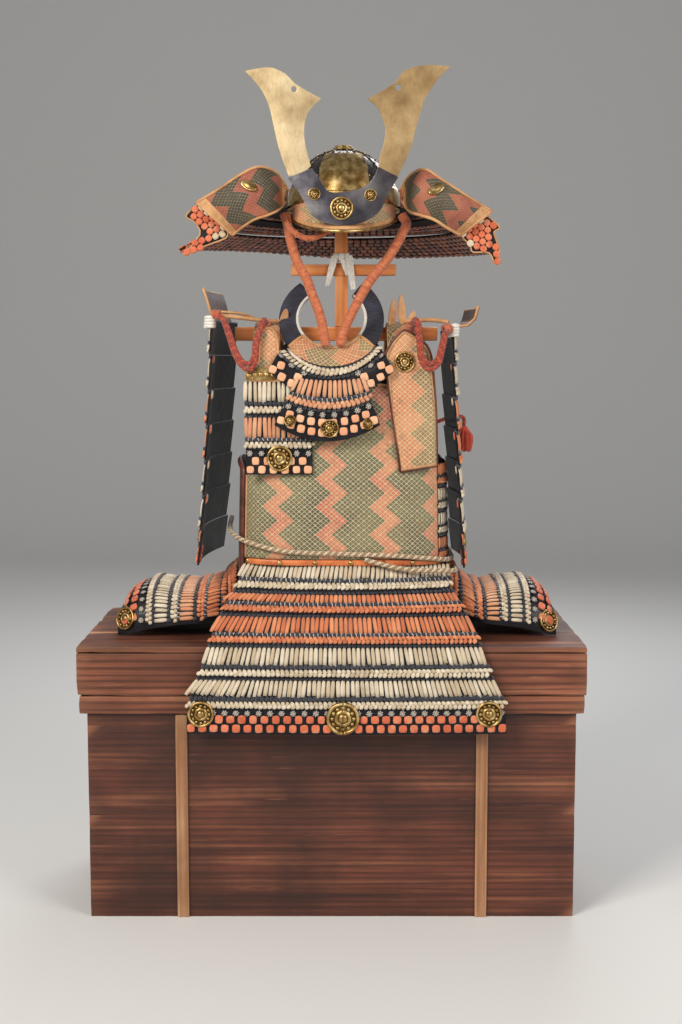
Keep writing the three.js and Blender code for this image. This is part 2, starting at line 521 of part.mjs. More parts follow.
// ---- crest: a dark base plate with three bosses and two tall gilt horns ----
{
  const y = -168.9;
  const base = [[-78, 1362], [-58, 1336], [-46, 1314], [-36, 1298], [-18, 1286], [4, 1280], [22, 1279],
      [48, 1282], [72, 1292],
    [88, 1306], [98, 1326], [112, 1352], [120, 1364], [84, 1382], [74, 1362], [56, 1346], [22, 1338], [-6,
        1339], [-22, 1362], [-36, 1380]];
  add("crest_base", joined(plate(base, y, 3), boss(18, y + 0.5, 1309, 21, [0, -1, 0]),
    boss(-31, y + 0.5, 1334, 11, [0, -1, 0], 3.5, 12), boss(70, y + 0.5, 1332, 11, [0, -1, 0], 3.5, 12)),
        "steel");
}
const HORN = {
  left: { hole: { x: -67, z: 1518, r: 5 }, edge: [[-155, 1550], [-110, 1556], [-84, 1546], [-65, 1528],
      [-40, 1513], [-18, 1502],
    [-38, 1482], [-46, 1467], [-49, 1448], [-48, 1428], [-45, 1412], [-37, 1383.5], [-55, 1369], [-77,
        1366], [-87, 1392],
    [-96, 1421], [-103, 1451], [-107, 1471], [-114, 1495], [-124, 1515], [-140, 1535]] },
  right: { hole: { x: 119, z: 1521, r: 5 }, edge: [[213, 1558], [168, 1560], [130, 1550], [114, 1530],
      [88, 1514], [64, 1501],
    [81, 1487], [91, 1467], [96, 1448], [93, 1422], [86, 1399], [84, 1383.5], [100, 1372], [119, 1366],
        [130, 1388], [143, 1420],
    [151, 1450], [159, 1477], [167, 1502], [182, 1525], [199, 1546]] },
};
for (const [side, { hole, edge: rim }] of Object.entries(HORN))
  add("horn_" + side, plate(rim, -165.5, 1.8, [hole]), "gold");

// ---- cords ----
add("chin_cord_left", cord([[-86.5, -62, 1308],  [-76, -88, 1258], [-64, -98, 1218], [-46, -106, 1185],
    [-38, -110, 1163],
  [-21, -117, 1117], [-11, -126, 1063.9]], 9, 22), "orange");
add("chin_cord_right", cord([[131, -62, 1307], [139, -68, 1292],  [132, -88, 1274], [106, -98, 1228], [69,
    -106, 1181], [39, -114, 1128],
  [22, -120, 1090], [15, -126, 1064.3]], 9, 22), "orange");
add("shoulder_loop_left", cord([[-218.6, -116.4, 1121], [-204, -127, 1117], [-190, -138, 1084], [-177,
    -150, 1047], [-162, -159, 1025], [-149, -162, 1021],
  [-139, -162, 1034], [-136, -161, 1065], [-129, -157, 1092], [-124, -136, 1112], [-122, -108, 1100],
      [-122, -90.6, 1077.8]], 4.5, 22), "orange");
add("shoulder_loop_right", cord([[145, -90.6, 1077.9], [148, -112, 1104], [155, -140, 1112], [158, -157,
    1078], [163, -165, 1036], [177, -167, 1021], [193, -166, 1029],
  [203, -160, 1060], [209, -146, 1086], [214, -128, 1093], [218.4, -116.6, 1096.2]], 4.5, 22), "orange");
{
  const low = (deg, z, out) => { const [x, y] = waist(deg, 660, out); return [x, y, z]; };
  const round = (list) => list.map(([deg, z, out]) => low(deg, z, out));
  add("waist_cord_upper", cord(round([[-186, 726, 24], [-176, 718, 20], [-164, 712, 17], [-150, 704, 12],
      [-136, 698, 8], [-118, 690, 8],
    [-104, 684, 8], [-90, 680, 8], [-76, 676, 8], [-62, 672, 8], [-46, 668, 8], [-30, 664, 9], [-12, 662,
        9],
    [4, 664, 9]]), 4.5, 36), "cream");
  add("waist_cord_lower", cord(round([[-88, 669.6, 9], [-80, 657, 14], [-72, 652, 19], [-60, 650, 24],
      [-46, 648, 28], [-34, 646, 28],
    [-22, 645, 22], [-12, 644, 12]]), 4.5, 22), "cream");
}
add("back_cord", cord([[60, 135.6, 972], [68, 150, 958], [96, 168, 924], [150, 182, 900], [210, 184, 908],
    [250, 178, 922], [270, 184, 918], [272, 186, 902]], 4,
  18), "orange");
add("back_tassel", turned([[0, 846], [12, 848], [20, 866], [17, 888], [8, 900], [0, 901]],
    12).translate(272, 186, 0), "orange");
// A white tape tied round the crossing of post and head bar, with two hanging ends.
{
  const x = POST.x, w = POST.width / 2 + 1, tape = box(x - w - 2, x + w + 2, -16, 16, 1223, 1241);
  const ends = [[-17, 0.16], [6, -0.2]].map(([dx, lean]) => loft([1, 0].map((k) => [[0, -19], [16, -19],
      [16, -17], [0, -17]].map(([px, py]) =>
    [x + dx + px + k * lean * 80, py, 1168 + (1 - k) * 68])), [0, 1]));
  add("stand_tape", joined(cut(tape, box(x - w + 0.8, x + w - 0.8, -13.2, 13.2, 1200, 1260)), ...ends,
    box(x - 12, x + 12, -20, -15, 1226, 1238)), "white");
}

export default part;
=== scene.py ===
"""Samurai armour on its stand and chest: the finish of every piece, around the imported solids.

Metres, +Z up, the front looks along -Y. Sizes in the tables are millimetres, as in the part's source.
"""
import json
import math

import bmesh
import bpy
from mathutils import Matrix, Vector, noise

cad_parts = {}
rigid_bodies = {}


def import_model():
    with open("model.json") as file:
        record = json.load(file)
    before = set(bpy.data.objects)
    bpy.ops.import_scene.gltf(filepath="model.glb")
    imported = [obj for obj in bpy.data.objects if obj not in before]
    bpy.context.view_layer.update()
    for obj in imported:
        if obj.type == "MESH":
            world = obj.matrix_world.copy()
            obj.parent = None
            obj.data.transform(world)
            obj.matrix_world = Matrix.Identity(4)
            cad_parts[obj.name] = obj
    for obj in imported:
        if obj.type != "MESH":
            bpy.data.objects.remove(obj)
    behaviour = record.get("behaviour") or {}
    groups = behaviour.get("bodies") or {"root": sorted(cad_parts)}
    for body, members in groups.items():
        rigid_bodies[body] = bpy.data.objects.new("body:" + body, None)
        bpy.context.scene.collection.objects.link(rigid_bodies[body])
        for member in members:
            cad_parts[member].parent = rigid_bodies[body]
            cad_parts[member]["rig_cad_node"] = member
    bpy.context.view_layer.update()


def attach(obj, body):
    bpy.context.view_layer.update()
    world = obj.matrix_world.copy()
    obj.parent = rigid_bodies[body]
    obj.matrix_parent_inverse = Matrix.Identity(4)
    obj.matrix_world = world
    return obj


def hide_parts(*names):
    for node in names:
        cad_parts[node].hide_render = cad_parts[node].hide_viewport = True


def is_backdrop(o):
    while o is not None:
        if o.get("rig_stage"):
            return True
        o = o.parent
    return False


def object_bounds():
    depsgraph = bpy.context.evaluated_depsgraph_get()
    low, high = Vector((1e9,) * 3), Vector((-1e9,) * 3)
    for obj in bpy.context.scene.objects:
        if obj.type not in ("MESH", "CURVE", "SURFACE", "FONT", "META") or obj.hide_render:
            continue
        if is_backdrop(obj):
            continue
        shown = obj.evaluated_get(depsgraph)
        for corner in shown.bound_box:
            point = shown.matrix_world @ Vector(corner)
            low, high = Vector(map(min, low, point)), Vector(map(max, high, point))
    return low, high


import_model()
scene = bpy.context.scene

# Camera and studio. The armour is seen from 2.8 m in front and a little above its middle, with a
# normal lens. It stands on a plain pale floor that sweeps up behind it, in the soft light of three large panels.
camera = bpy.data.objects.new("camera", bpy.data.cameras.new("camera"))
camera.location = (0.017, -2.777, 1.047)
camera.rotation_euler = (math.radians(90 - 6.27), 0, 0)
camera.data.sensor_width = 36
camera.data.lens = 1428 / 1024 * 36
camera.data.clip_end = 50
scene.collection.objects.link(camera)
scene.camera = camera

PANELS = [  # place, point it faces, size, watts, warmth
    dict(place=(-1.7, -2.3, 2.5), faces=(0, 0, 0.85), size=1.3, watts=84, colour=(1, 0.95, 0.88)),
    dict(place=(2.0, -2.0, 1.9), faces=(0, 0, 0.8), size=1.5, watts=42, colour=(1, 0.97, 0.93)),
    dict(place=(0.5, 2.4, 2.6), faces=(0, 0, 1.0), size=1.6, watts=40, colour=(0.95, 0.97, 1)),
]
for n, panel in enumerate(PANELS):
    light = bpy.data.lights.new(f"panel_{n}", "AREA")
    light.size, light.energy, light.color = panel["size"], panel["watts"], panel["colour"]
    lamp = bpy.data.objects.new(light.name, light)
    lamp.location = panel["place"]
    lamp.rotation_euler = (Vector(panel["faces"]) - lamp.location).to_track_quat("-Z", "Y").to_euler()
    scene.collection.objects.link(lamp)
scene.world = bpy.data.worlds.new("studio")
scene.world.use_nodes = True
scene.world.node_tree.nodes["Background"].inputs["Color"].default_value = (0.80, 0.82, 0.85, 1)
scene.world.node_tree.nodes["Background"].inputs["Strength"].default_value = 0.34
scene.view_settings.view_transform = "Standard"

sweep = [(-6, 0), (4.5, 0)] + [(4.5 + 2 * math.sin(t / 10 * math.pi / 2), 2 - 2 * math.cos(t / 10 * math.pi / 2))
                               for t in range(1, 11)] + [(6.5, 9)]
floor_mesh = bpy.data.meshes.new("floor")
floor_mesh.from_pydata([(x, y, z) for y, z in sweep for x in (-14, 14)], [],
                       [(2 * k, 2 * k + 1, 2 * k + 3, 2 * k + 2) for k in range(len(sweep) - 1)])
floor_mesh.polygons.foreach_set("use_smooth", [True] * len(floor_mesh.polygons))
floor = bpy.data.objects.new("floor", floor_mesh)
scene.collection.objects.link(floor)
floor_finish = bpy.data.materials.new("floor")
floor_finish.use_nodes = True
floor_shader = floor_finish.node_tree.nodes["Principled BSDF"]
floor_shader.inputs["Base Color"].default_value = (0.74, 0.73, 0.71, 1)
floor_shader.inputs["Roughness"].default_value = 0.85
floor_mesh.materials.append(floor_finish)
floor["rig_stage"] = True

# Chest: an open box of stained softwood boards under a cap lid in two steps, with two paler upright
# battens nailed to its front. The boards' arrises are worn round and coloured paler, the lid's top edge too.
MM = 0.001


class Paint:
    """One finish: a material, its shader, and short ways to add the nodes that colour it."""

    def __init__(self, name, rough=0.5, metal=0.0, coat=0.0, sheen=0.0):
        self.mat = bpy.data.materials.new(name)
        self.mat.use_nodes = True
        self.tree = self.mat.node_tree
        self.shader = self.tree.nodes["Principled BSDF"]
        settings = {"Roughness": rough, "Metallic": metal, "Coat Weight": coat, "Sheen Weight": sheen}
        for socket, value in settings.items():
            self.shader.inputs[socket].default_value = value

    def feed(self, socket, value):
        if isinstance(value, str):
            value = srgb(value)
        if isinstance(value, bpy.types.NodeSocket):
            self.tree.links.new(value, socket)
        elif value is not None:
            socket.default_value = value

    def node(self, kind, *values, **settings):
        made = self.tree.nodes.new("ShaderNode" + kind)
        for key, value in settings.items():
            setattr(made, key, value)
        for socket, value in zip(made.inputs, values):
            self.feed(socket, value)
        return made

    def math(self, operation, *values):
        return self.node("Math", *values, operation=operation).outputs[0]

    def mix(self, factor, a, b, blend="MIX"):
        made = self.node("Mix", data_type="RGBA", blend_type=blend)
        for key, value in ((0, factor), (6, a), (7, b)):
            self.feed(made.inputs[key], value)
        return made.outputs[2]

    def at(self, scale=(1, 1, 1), source="Object", turn=(0, 0, 0)):
        place = self.node("TexCoord").outputs[source]
        return self.node("Mapping", place, (0, 0, 0), turn, scale).outputs[0]

    def noise(self, at, scale, detail=3.0, rough=0.55, bend=0.0):
        made = self.node("TexNoise")
        for key, value in (("Vector", at), ("Scale", scale), ("Detail", detail), ("Roughness", rough),
                           ("Distortion", bend)):
            self.feed(made.inputs[key], value)
        return made.outputs[0]

    def ramp(self, value, *stops):
        made = self.node("ValToRGB", value)
        made.color_ramp.elements[0].position, made.color_ramp.elements[1].position = 0, 1
        for n, (place, colour) in enumerate(stops):
            stop = made.color_ramp.elements[n] if n < 2 else made.color_ramp.elements.new(place)
            stop.position, stop.color = place, srgb(colour)
        return made.outputs[0]

    def step(self, value, low, high):
        made = self.node("MapRange", value, low, high, 0, 1)
        return made.outputs[0]

    def colour(self, socket):
        self.feed(self.shader.inputs["Base Color"], socket)

    def rough(self, value, low, high):
        self.feed(self.shader.inputs["Roughness"], self.node("MapRange", value, 0, 1, low, high).outputs[0])

    def bump(self, height, depth, strength=1.0):
        made = self.node("Bump")
        made.inputs["Strength"].default_value = strength
        made.inputs["Distance"].default_value = depth * MM
        self.feed(made.inputs["Height"], height)
        if self.shader.inputs["Normal"].is_linked:
            self.feed(made.inputs["Normal"], self.shader.inputs["Normal"].links[0].from_socket)
        self.feed(self.shader.inputs["Normal"], made.outputs[0])


def srgb(code):
    parts = [int(code[k:k + 2], 16) / 255 for k in (0, 2, 4)]
    return tuple(p / 12.92 if p <= 0.04045 else ((p + 0.055) / 1.055) ** 2.4 for p in parts) + (1,)


def piece(name, verts, faces, paint, uvs=None, smooth=True, weld=False):
    """A mesh object from points in millimetres, its faces turned outwards."""
    mesh = bpy.data.meshes.new(name)
    mesh.from_pydata([Vector(v) * MM for v in verts], [], faces)
    if uvs:
        layer = mesh.uv_layers.new(name="UVMap")
        for loop in mesh.loops:
            layer.data[loop.index].uv = uvs[loop.vertex_index]
    bm = bmesh.new()
    bm.from_mesh(mesh)
    if weld:
        bmesh.ops.remove_doubles(bm, verts=bm.verts, dist=1e-5)
    bmesh.ops.recalc_face_normals(bm, faces=bm.faces)
    bm.to_mesh(mesh)
    bm.free()
    mesh.polygons.foreach_set("use_smooth", [smooth] * len(mesh.polygons))
    mesh.materials.append(paint.mat)
    made = bpy.data.objects.new(name, mesh)
    scene.collection.objects.link(made)
    return made


def fasten(made, slot, *nodes):
    """The piece rides on the armour's one body and stands for these solids."""
    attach(made, "root")
    if nodes:
        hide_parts(*nodes)
    return made


def soften(made, width, segments=2, angle=35):
    """Rounds a piece's arrises."""
    bevel = made.modifiers.new("arris", "BEVEL")
    bevel.width, bevel.segments, bevel.limit_method = width * MM, segments, "ANGLE"
    bevel.angle_limit = math.radians(angle)
    bevel.harden_normals = True
    return made


def boards(name, sizes, paint, wear, step=30):
    """Boards, each cut from x0, x1, y0, y1, z0, z1, with arrises worn unevenly."""
    verts, faces = [], []
    for x0, x1, y0, y1, z0, z1 in sizes:
        low, high = Vector((x0, y0, z0)), Vector((x1, y1, z1))
        counts = [max(2, round((high[k] - low[k]) / step)) for k in range(3)]
        bm = bmesh.new()
        spots = {}

        def vert(i, j, k):
            if (i, j, k) not in spots:
                at = Vector([low[a] + (high[a] - low[a]) * n / counts[a] for a, n in enumerate((i, j, k))])
                ends = [n in (0, counts[a]) for a, n in enumerate((i, j, k))]
                if sum(ends) > 1:
                    worn = wear * (0.25 + abs(noise.noise(at * 0.021)) * 1.6) * (1.5 if sum(ends) > 2 else 1)
                    middle = (low + high) / 2
                    for a in range(3):
                        if ends[a]:
                            at[a] -= math.copysign(min(worn, (high[a] - low[a]) / 4), at[a] - middle[a])
                spots[i, j, k] = bm.verts.new(at)
            return spots[i, j, k]

        for a, b, c in ((0, 1, 2), (1, 2, 0), (2, 0, 1)):
            for side in (0, counts[a]):
                for p in range(counts[b]):
                    for q in range(counts[c]):
                        corners = []
                        for dp, dq in ((0, 0), (1, 0), (1, 1), (0, 1)):
                            n = [0, 0, 0]
                            n[a], n[b], n[c] = side, p + dp, q + dq
                            corners.append(vert(*n))
                        bm.faces.new(corners)
        base = len(verts)
        bm.verts.index_update()
        verts += [v.co.copy() for v in bm.verts]
        faces += [[base + v.index for v in f.verts] for f in bm.faces]
        bm.free()
    return soften(piece(name, verts, faces, paint), min(1.6, 1.5 * wear), 3)


def wood(name, along, dark, middle, light, rough=0.55, streak=34, blotch=0.75, ringed=0.45):
    """Stained wood with its grain along one axis: 0, 1 or 2, or None for upright walls."""
    paint = Paint(name, rough)
    scale = [1.3, 1.3, streak] if along is None else [1.3 if k == along else streak for k in range(3)]
    axis = 2 if along != 2 else 0
    grain = paint.noise(paint.at(scale), 1.0, 8, 0.62, 0.35)
    lines = paint.noise(paint.at([s * 3.6 if s > 2 else s * 1.7 for s in scale]), 1.0, 5, 0.7, 0.2)
    colour = paint.ramp(grain, (0.28, dark), (0.52, middle), (0.74, light))
    colour = paint.mix(paint.math("MULTIPLY", paint.step(lines, 0.52, 0.68), 0.55), colour, dark)
    rings = paint.node("TexWave", paint.at(scale), 0.8, 5.0, 3.0, 1.0, 0.6, bands_direction="XYZ"[axis]).outputs["Fac"]
    colour = paint.mix(paint.math("MULTIPLY", paint.step(rings, 0.45, 0.9), ringed), colour, dark)
    patches = paint.noise(paint.at(), 4.2, 4, 0.6)
    colour = paint.mix(paint.math("MULTIPLY", paint.step(patches, 0.62, 0.36), blotch), colour, dark)
    specks = paint.noise(paint.at([s * 2.2 for s in scale]), 2.3, 3, 0.6)
    colour = paint.mix(paint.math("MULTIPLY", paint.step(specks, 0.66, 0.8), 0.5), colour, light)
    # every convex arris is coloured paler
    rub = paint.node("NewGeometry").outputs["Pointiness"]
    colour = paint.mix(paint.math("MULTIPLY", paint.step(rub, 0.515, 0.60), 0.6), colour, light)
    paint.colour(colour)
    paint.rough(grain, rough - 0.1, rough + 0.18)
    paint.bump(lines, 0.5, 0.7)
    paint.bump(rings, 0.3, 0.6)
    return paint


wall_wood = wood("chest_wall", None, "2c150c", "6a3624", "a4694a")
lid_wood = wood("chest_lid", 0, "45200f", "96573c", "cf956e", streak=30, ringed=0.75)
end_wood = wood("chest_lid_end", 1, "3a1c10", "74402c", "b07a58", streak=30, ringed=0.75)
batten_wood = wood("chest_batten", 2, "855637", "c08f66", "e6bf95")

CHEST = dict(x=452, y=196, rim=504.5, board=14)
LID = dict(x=468.5, y=210, bottom=390, step=425, top=517, board=12, inset=3)
x, y, b = CHEST["x"], CHEST["y"], CHEST["board"]
JOINT = [196.0, 367.0]  # heights of the seams between the boards of a wall
levels = [0, *JOINT, CHEST["rim"]]
walls = []
for z0, z1 in zip(levels, levels[1:]):
    z1 -= 0.2
    walls += [(-x, x, -y, -y + b, z0, z1), (-x, x, y - b, y, z0, z1)]
    walls += [(-x, -x + b, -y + b, y - b, z0, z1), (x - b, x, -y + b, y - b, z0, z1)]
walls.append((-x + b, x - b, -y + b, y - b, 0, b))
fasten(boards("chest_body", walls, wall_wood, 0.35), "chest_wood", "chest_body")

x, y, i = LID["x"], LID["y"], LID["inset"]
inner_x, inner_y = CHEST["x"] + 1.5, CHEST["y"] + 1
long_sides, short_sides = [], []
for z0, z1, cut in ((LID["bottom"], LID["step"] - 0.6, i), (LID["step"], LID["top"] - LID["board"] - 0.4, 0)):
    for s in (-1, 1):
        near, far = sorted((s * inner_y, s * (y - cut)))
        long_sides.append((-x + cut, x - cut, near, far, z0, z1))
        near, far = sorted((s * inner_x, s * (x - cut)))
        short_sides.append((near, far, -inner_y, inner_y, z0, z1))
top_z = LID["top"] - LID["board"]
top = [(-x, x, -y + (2 * y) * k / 3 + (0.3 if k else 0), -y + (2 * y) * (k + 1) / 3, top_z, LID["top"])
       for k in range(3)]
fasten(boards("chest_lid", long_sides + top, lid_wood, 1.5), "chest_wood", "chest_lid")
fasten(boards("chest_lid_ends", short_sides, end_wood, 1.2), "chest_wood", "chest_lid")

BATTEN = dict(x=278, width=22, thick=5)
for name, s in (("left", -1), ("right", 1)):
    half, front = BATTEN["width"] / 2, -CHEST["y"] - 0.3
    size = (s * BATTEN["x"] - half, s * BATTEN["x"] + half, front - BATTEN["thick"], front, 0,
            LID["bottom"] - 2)
    fasten(boards("chest_batten_" + name, [size], batten_wood, 0.7), "batten_wood", "chest_batten_" + name)

# Stand: a square base on the lid, an upright post and two cross bars of orange-stained softwood, with a
# turned rest for the helmet. A white cotton tape is tied round the crossing of post and upper bar.
post_wood = wood("stand_wood", 2, "b85c24", "e08a4a", "f4b47a", 0.42, 26, 0.15)
bar_wood = wood("stand_bar", 0, "b85c24", "de8746", "f2b076", 0.42, 26, 0.15)
POST = dict(x=17.5, half=12.5, low=547.6, top=1395)
BARS = [("shoulder_bar", -188, 203, 1074, 1101), ("head_bar", -79, 123, 1198, 1220)]
px, base_z = POST["x"], LID["top"] + 0.3
base = [(px - 120, px + 120, -80, 80, base_z, base_z + 30)]
fasten(boards("stand_base", base, bar_wood, 1.2), "stand_wood", "stand_base")
stretches = [POST["low"], BARS[0][3] - 0.3, BARS[0][4] + 0.3, BARS[1][3] - 0.3, BARS[1][4] + 0.3, POST["top"]]
post = [(px - 12.5, px + 12.5, -12.5, 12.5, stretches[k], stretches[k + 1]) for k in (0, 2, 4)]
cheeks = [(px - 12.5, px + 12.5, s * 12.5, s * 11.3, stretches[k], stretches[k + 1])
          for k in (1, 3) for s in (-1, 1)]
cheeks = [(a, b_, min(c, d), max(c, d), e, f) for a, b_, c, d, e, f in cheeks]
fasten(boards("stand_post", post + cheeks, post_wood, 0.6), "stand_wood", "stand_post")
for name, x0, x1, z0, z1 in BARS:
    fasten(boards(name, [(x0, x1, -11, 11, z0, z1)], bar_wood, 0.9), "stand_wood", name)


def turned(profile, sides, at=(0, 0, 0), towards=(0, 0, 1)):
    """Points and faces of a turned solid: radius, height pairs from the axis back to the axis."""
    turn = Vector(towards).normalized().to_track_quat("Z", "Y").to_matrix()
    verts, faces, rings = [], [], profile[1:-1]
    for r, z in rings:
        verts += [Vector((r * math.cos(t), r * math.sin(t), z))
                  for t in (2 * math.pi * k / sides for k in range(sides))]
    verts += [Vector((0, 0, profile[0][1])), Vector((0, 0, profile[-1][1]))]
    for k in range(sides):
        m = (k + 1) % sides
        faces.append((len(verts) - 2, m, k))
        for j in range(len(rings) - 1):
            faces.append((j * sides + k, j * sides + m, (j + 1) * sides + m, (j + 1) * sides + k))
        faces.append(((len(rings) - 1) * sides + k, (len(rings) - 1) * sides + m, len(verts) - 1))
    return [turn @ v + Vector(at) for v in verts], faces


def together(*parts):
    """Joins lists of points and faces into one."""
    verts, faces = [], []
    for part in parts:
        faces += [[v + len(verts) for v in f] for f in part[1]]
        verts += part[0]
    return verts, faces


rest = [(0, 1395.3), (26, 1395.3), (30, 1397), (44, 1402), (46, 1408), (44, 1416), (34, 1422), (22, 1425.5),
        (0, 1426.5)]
fasten(piece("helmet_rest", *turned(rest, 40, (22, 0, 0)), post_wood), "stand_wood", "helmet_rest")

tape_cotton = Paint("tape_cotton", 0.85, sheen=0.3)
weave = tape_cotton.noise(tape_cotton.at((900, 900, 260)), 1.0, 2)
tape_cotton.colour(tape_cotton.ramp(weave, (0.3, "b9b3a6"), (0.6, "ece8de")))
tape_cotton.bump(weave, 0.25, 0.6)


def ribbon(line, across, thick):
    """A flat strip through a line of points; across gives each point's half width as a vector."""
    verts, faces = [], []
    for k, (p, w) in enumerate(zip(line, across)):
        p, w = Vector(p), Vector(w)
        ahead = Vector(line[min(k + 1, len(line) - 1)]) - Vector(line[max(k - 1, 0)])
        n = ahead.cross(w).normalized() * thick / 2
        verts += [p - w + n, p + w + n, p + w - n, p - w - n]
        if k:
            faces += [(4 * k - 4 + a, 4 * k - 4 + (a + 1) % 4, 4 * k + (a + 1) % 4, 4 * k + a)
                      for a in range(4)]
    last = len(verts) - 4
    return verts, faces + [(3, 2, 1, 0), (last, last + 1, last + 2, last + 3)]


wound = []
for turn_z in (1226.5, 1232, 1237.5):
    ring = [(px + 15.4 * math.copysign(abs(math.cos(t)) ** 0.35, math.cos(t)),
             15.4 * math.copysign(abs(math.sin(t)) ** 0.35, math.sin(t)), turn_z + 1.5 * math.sin(t))
            for t in (2 * math.pi * k / 28 for k in range(29))]
    wound.append(ribbon(ring, [(0, 0, 3.6)] * 29, 1.2))
ends = []
for x0, lean, length in ((px - 12, -0.26, 58), (px + 14, 0.14, 64), (px + 2, 0.3, 38)):
    line = [(x0 + lean * length * s, -17.5 - 3 * math.sin(3 * s), 1236 - length * s) for s in
            (k / 8 for k in range(9))]
    ends.append(ribbon(line, [(7 * math.cos(0.9 * s), 3 * math.sin(2.2 * s + lean * 6), 0.6)
                              for s in (k / 8 for k in range(9))], 0.9))
knot = turned([(0, -4), (6, -3), (8, 0), (6, 3), (0, 4)], 14, (px, -18, 1233), (0.3, -1, 0.1))
tape = piece("stand_tape", *together(*wound, *ends, knot), tape_cotton)
fasten(soften(tape, 0.25, 1), "white_tape", "stand_tape")

# Cuirass: one wall of laced, lacquered lames that wraps round front, right side and back. Each lame is
# hung from the one above by upright silk braids, and edged with plaits that run along it.
BODY = dict(x=22, half_x=199, half_y=145, bottom=660, power=4)
TOP_EDGE = [(-154, 850), (-134, 862), (-118, 930), (-106, 994), (-90, 1000), (-74, 994), (-62, 930),
            (-46, 862), (0, 846), (38, 862), (46, 984), (62, 996), (90, 1010), (118, 996), (134, 984),
            (142, 862), (154, 850)]


def along(table, at, column=1):
    """The value of a column at a place in a table's first column, on straight lines between rows."""
    rising = table[-1][0] > table[0][0]
    for p, q in zip(table, table[1:]):
        if (at <= q[0]) == rising or at == q[0] or q is table[-1]:
            t = min(1, max(0, (at - p[0]) / (q[0] - p[0])))
            return p[column] + (q[column] - p[column]) * t


def waist(deg, z, grow=0.0):
    """A point of the cuirass's outside: direction seen from above, height, and how far it stands out."""
    c, s = math.cos(math.radians(deg)), math.sin(math.radians(deg))
    rise, e = max(0, z - BODY["bottom"]) / 340, 2 / BODY["power"]
    rx = BODY["half_x"] * (1 - 0.04 * rise) + grow
    ry = BODY["half_y"] * (1 - 0.1 * rise ** 2) + grow
    return Vector((BODY["x"] + rx * math.copysign(abs(c) ** e, c), ry * math.copysign(abs(s) ** e, s), z))


def wall(grid, thick, ring=False):
    """A closed wall: rows of points from its upper to its lower edge, seen from outside left to right."""
    rows, cols = len(grid), len(grid[0])
    inner = []
    for r in range(rows):
        for c in range(cols):
            left = grid[r][(c - 1) % cols] if ring else grid[r][max(c - 1, 0)]
            right = grid[r][(c + 1) % cols] if ring else grid[r][min(c + 1, cols - 1)]
            down = Vector(grid[min(r + 1, rows - 1)][c]) - Vector(grid[max(r - 1, 0)][c])
            out = (Vector(right) - Vector(left)).cross(-down).normalized()
            inner.append(Vector(grid[r][c]) - out * thick)
    verts = [Vector(p) for row in grid for p in row] + inner
    half, faces = rows * cols, []
    for r in range(rows - 1):
        for c in range(cols if ring else cols - 1):
            q = [r * cols + c, r * cols + (c + 1) % cols, (r + 1) * cols + (c + 1) % cols, (r + 1) * cols + c]
            faces += [q, [half + v for v in reversed(q)]]
    for r in (0, rows - 1):
        for c in range(cols if ring else cols - 1):
            faces.append([r * cols + c, half + r * cols + c, half + r * cols + (c + 1) % cols,
                          r * cols + (c + 1) % cols])
    if not ring:
        for c in (0, cols - 1):
            for r in range(rows - 1):
                faces.append([r * cols + c, half + r * cols + c, half + (r + 1) * cols + c,
                              (r + 1) * cols + c])
    return verts, faces


def spread(count, low=0.0, high=1.0):
    return [low + (high - low) * k / count for k in range(count + 1)]


black_lacquer = Paint("black_lacquer", 0.45, coat=0.12)
black_lacquer.shader.inputs["Specular IOR Level"].default_value = 0.3
dulled = black_lacquer.noise(black_lacquer.at(), 38, 4)
black_lacquer.colour(black_lacquer.ramp(dulled, (0.35, "0a090d"), (0.62, "15131a"), (0.82, "2b2425")))
black_lacquer.rough(dulled, 0.34, 0.6)
black_lacquer.bump(black_lacquer.noise(black_lacquer.at(), 190, 3), 0.35, 0.5)


def silk(name, dark, light, dirt_and_groove_shade, uneven=0.5):
    """Flat-braided silk: a fishbone of threads along each strand, and a tone of its own per strand."""
    paint = Paint(name, 0.62, sheen=0.35)
    tone = paint.node("Attribute", attribute_name="tone").outputs["Fac"]
    u, v = paint.node("SeparateXYZ", paint.at(source="UV")).outputs[:2]
    bone = paint.math("ADD", paint.math("MULTIPLY", paint.math("ABSOLUTE", u), 1.1), v)
    thread = paint.math("PINGPONG", paint.math("MULTIPLY", bone, 7.0), 1.0)
    dirt = paint.noise(paint.at(), 26, 4, 0.6)
    base = paint.mix(tone, dark, light)
    base = paint.mix(paint.math("MULTIPLY", paint.step(dirt, 0.48, 0.72), uneven), base, dirt_and_groove_shade)
    # painted shade: the grooves between the threads are coloured towards the darker tone, which also serves for the
    # dirt
    paint.colour(paint.mix(paint.math("MULTIPLY", paint.step(thread, 0.3, 0.0), 0.35), base, dirt_and_groove_shade))
    paint.bump(thread, 0.35, 0.8)
    return paint


SILK = {
    "cream": silk("cream_silk", "cdb896", "f1e3ca", "a08462", 0.45),
    "orange": silk("orange_silk", "cf6a38", "ee9862", "b06038", 0.5),
    "pale_orange": silk("faded_orange_silk", "dd9468", "edb488", "b87a50", 0.4),
    # a darker copy of the orange silk: painted shade for the scales under the neck guard
    "rust": silk("rust_silk", "5e2c18", "b0603a", "4a2a1c", 0.5),
    "navy": silk("navy_silk", "14151f", "2a2c3c", "4a4650", 0.35),
    "white": silk("white_silk", "cfcbc4", "f0ece2", "a9a298", 0.3),
}


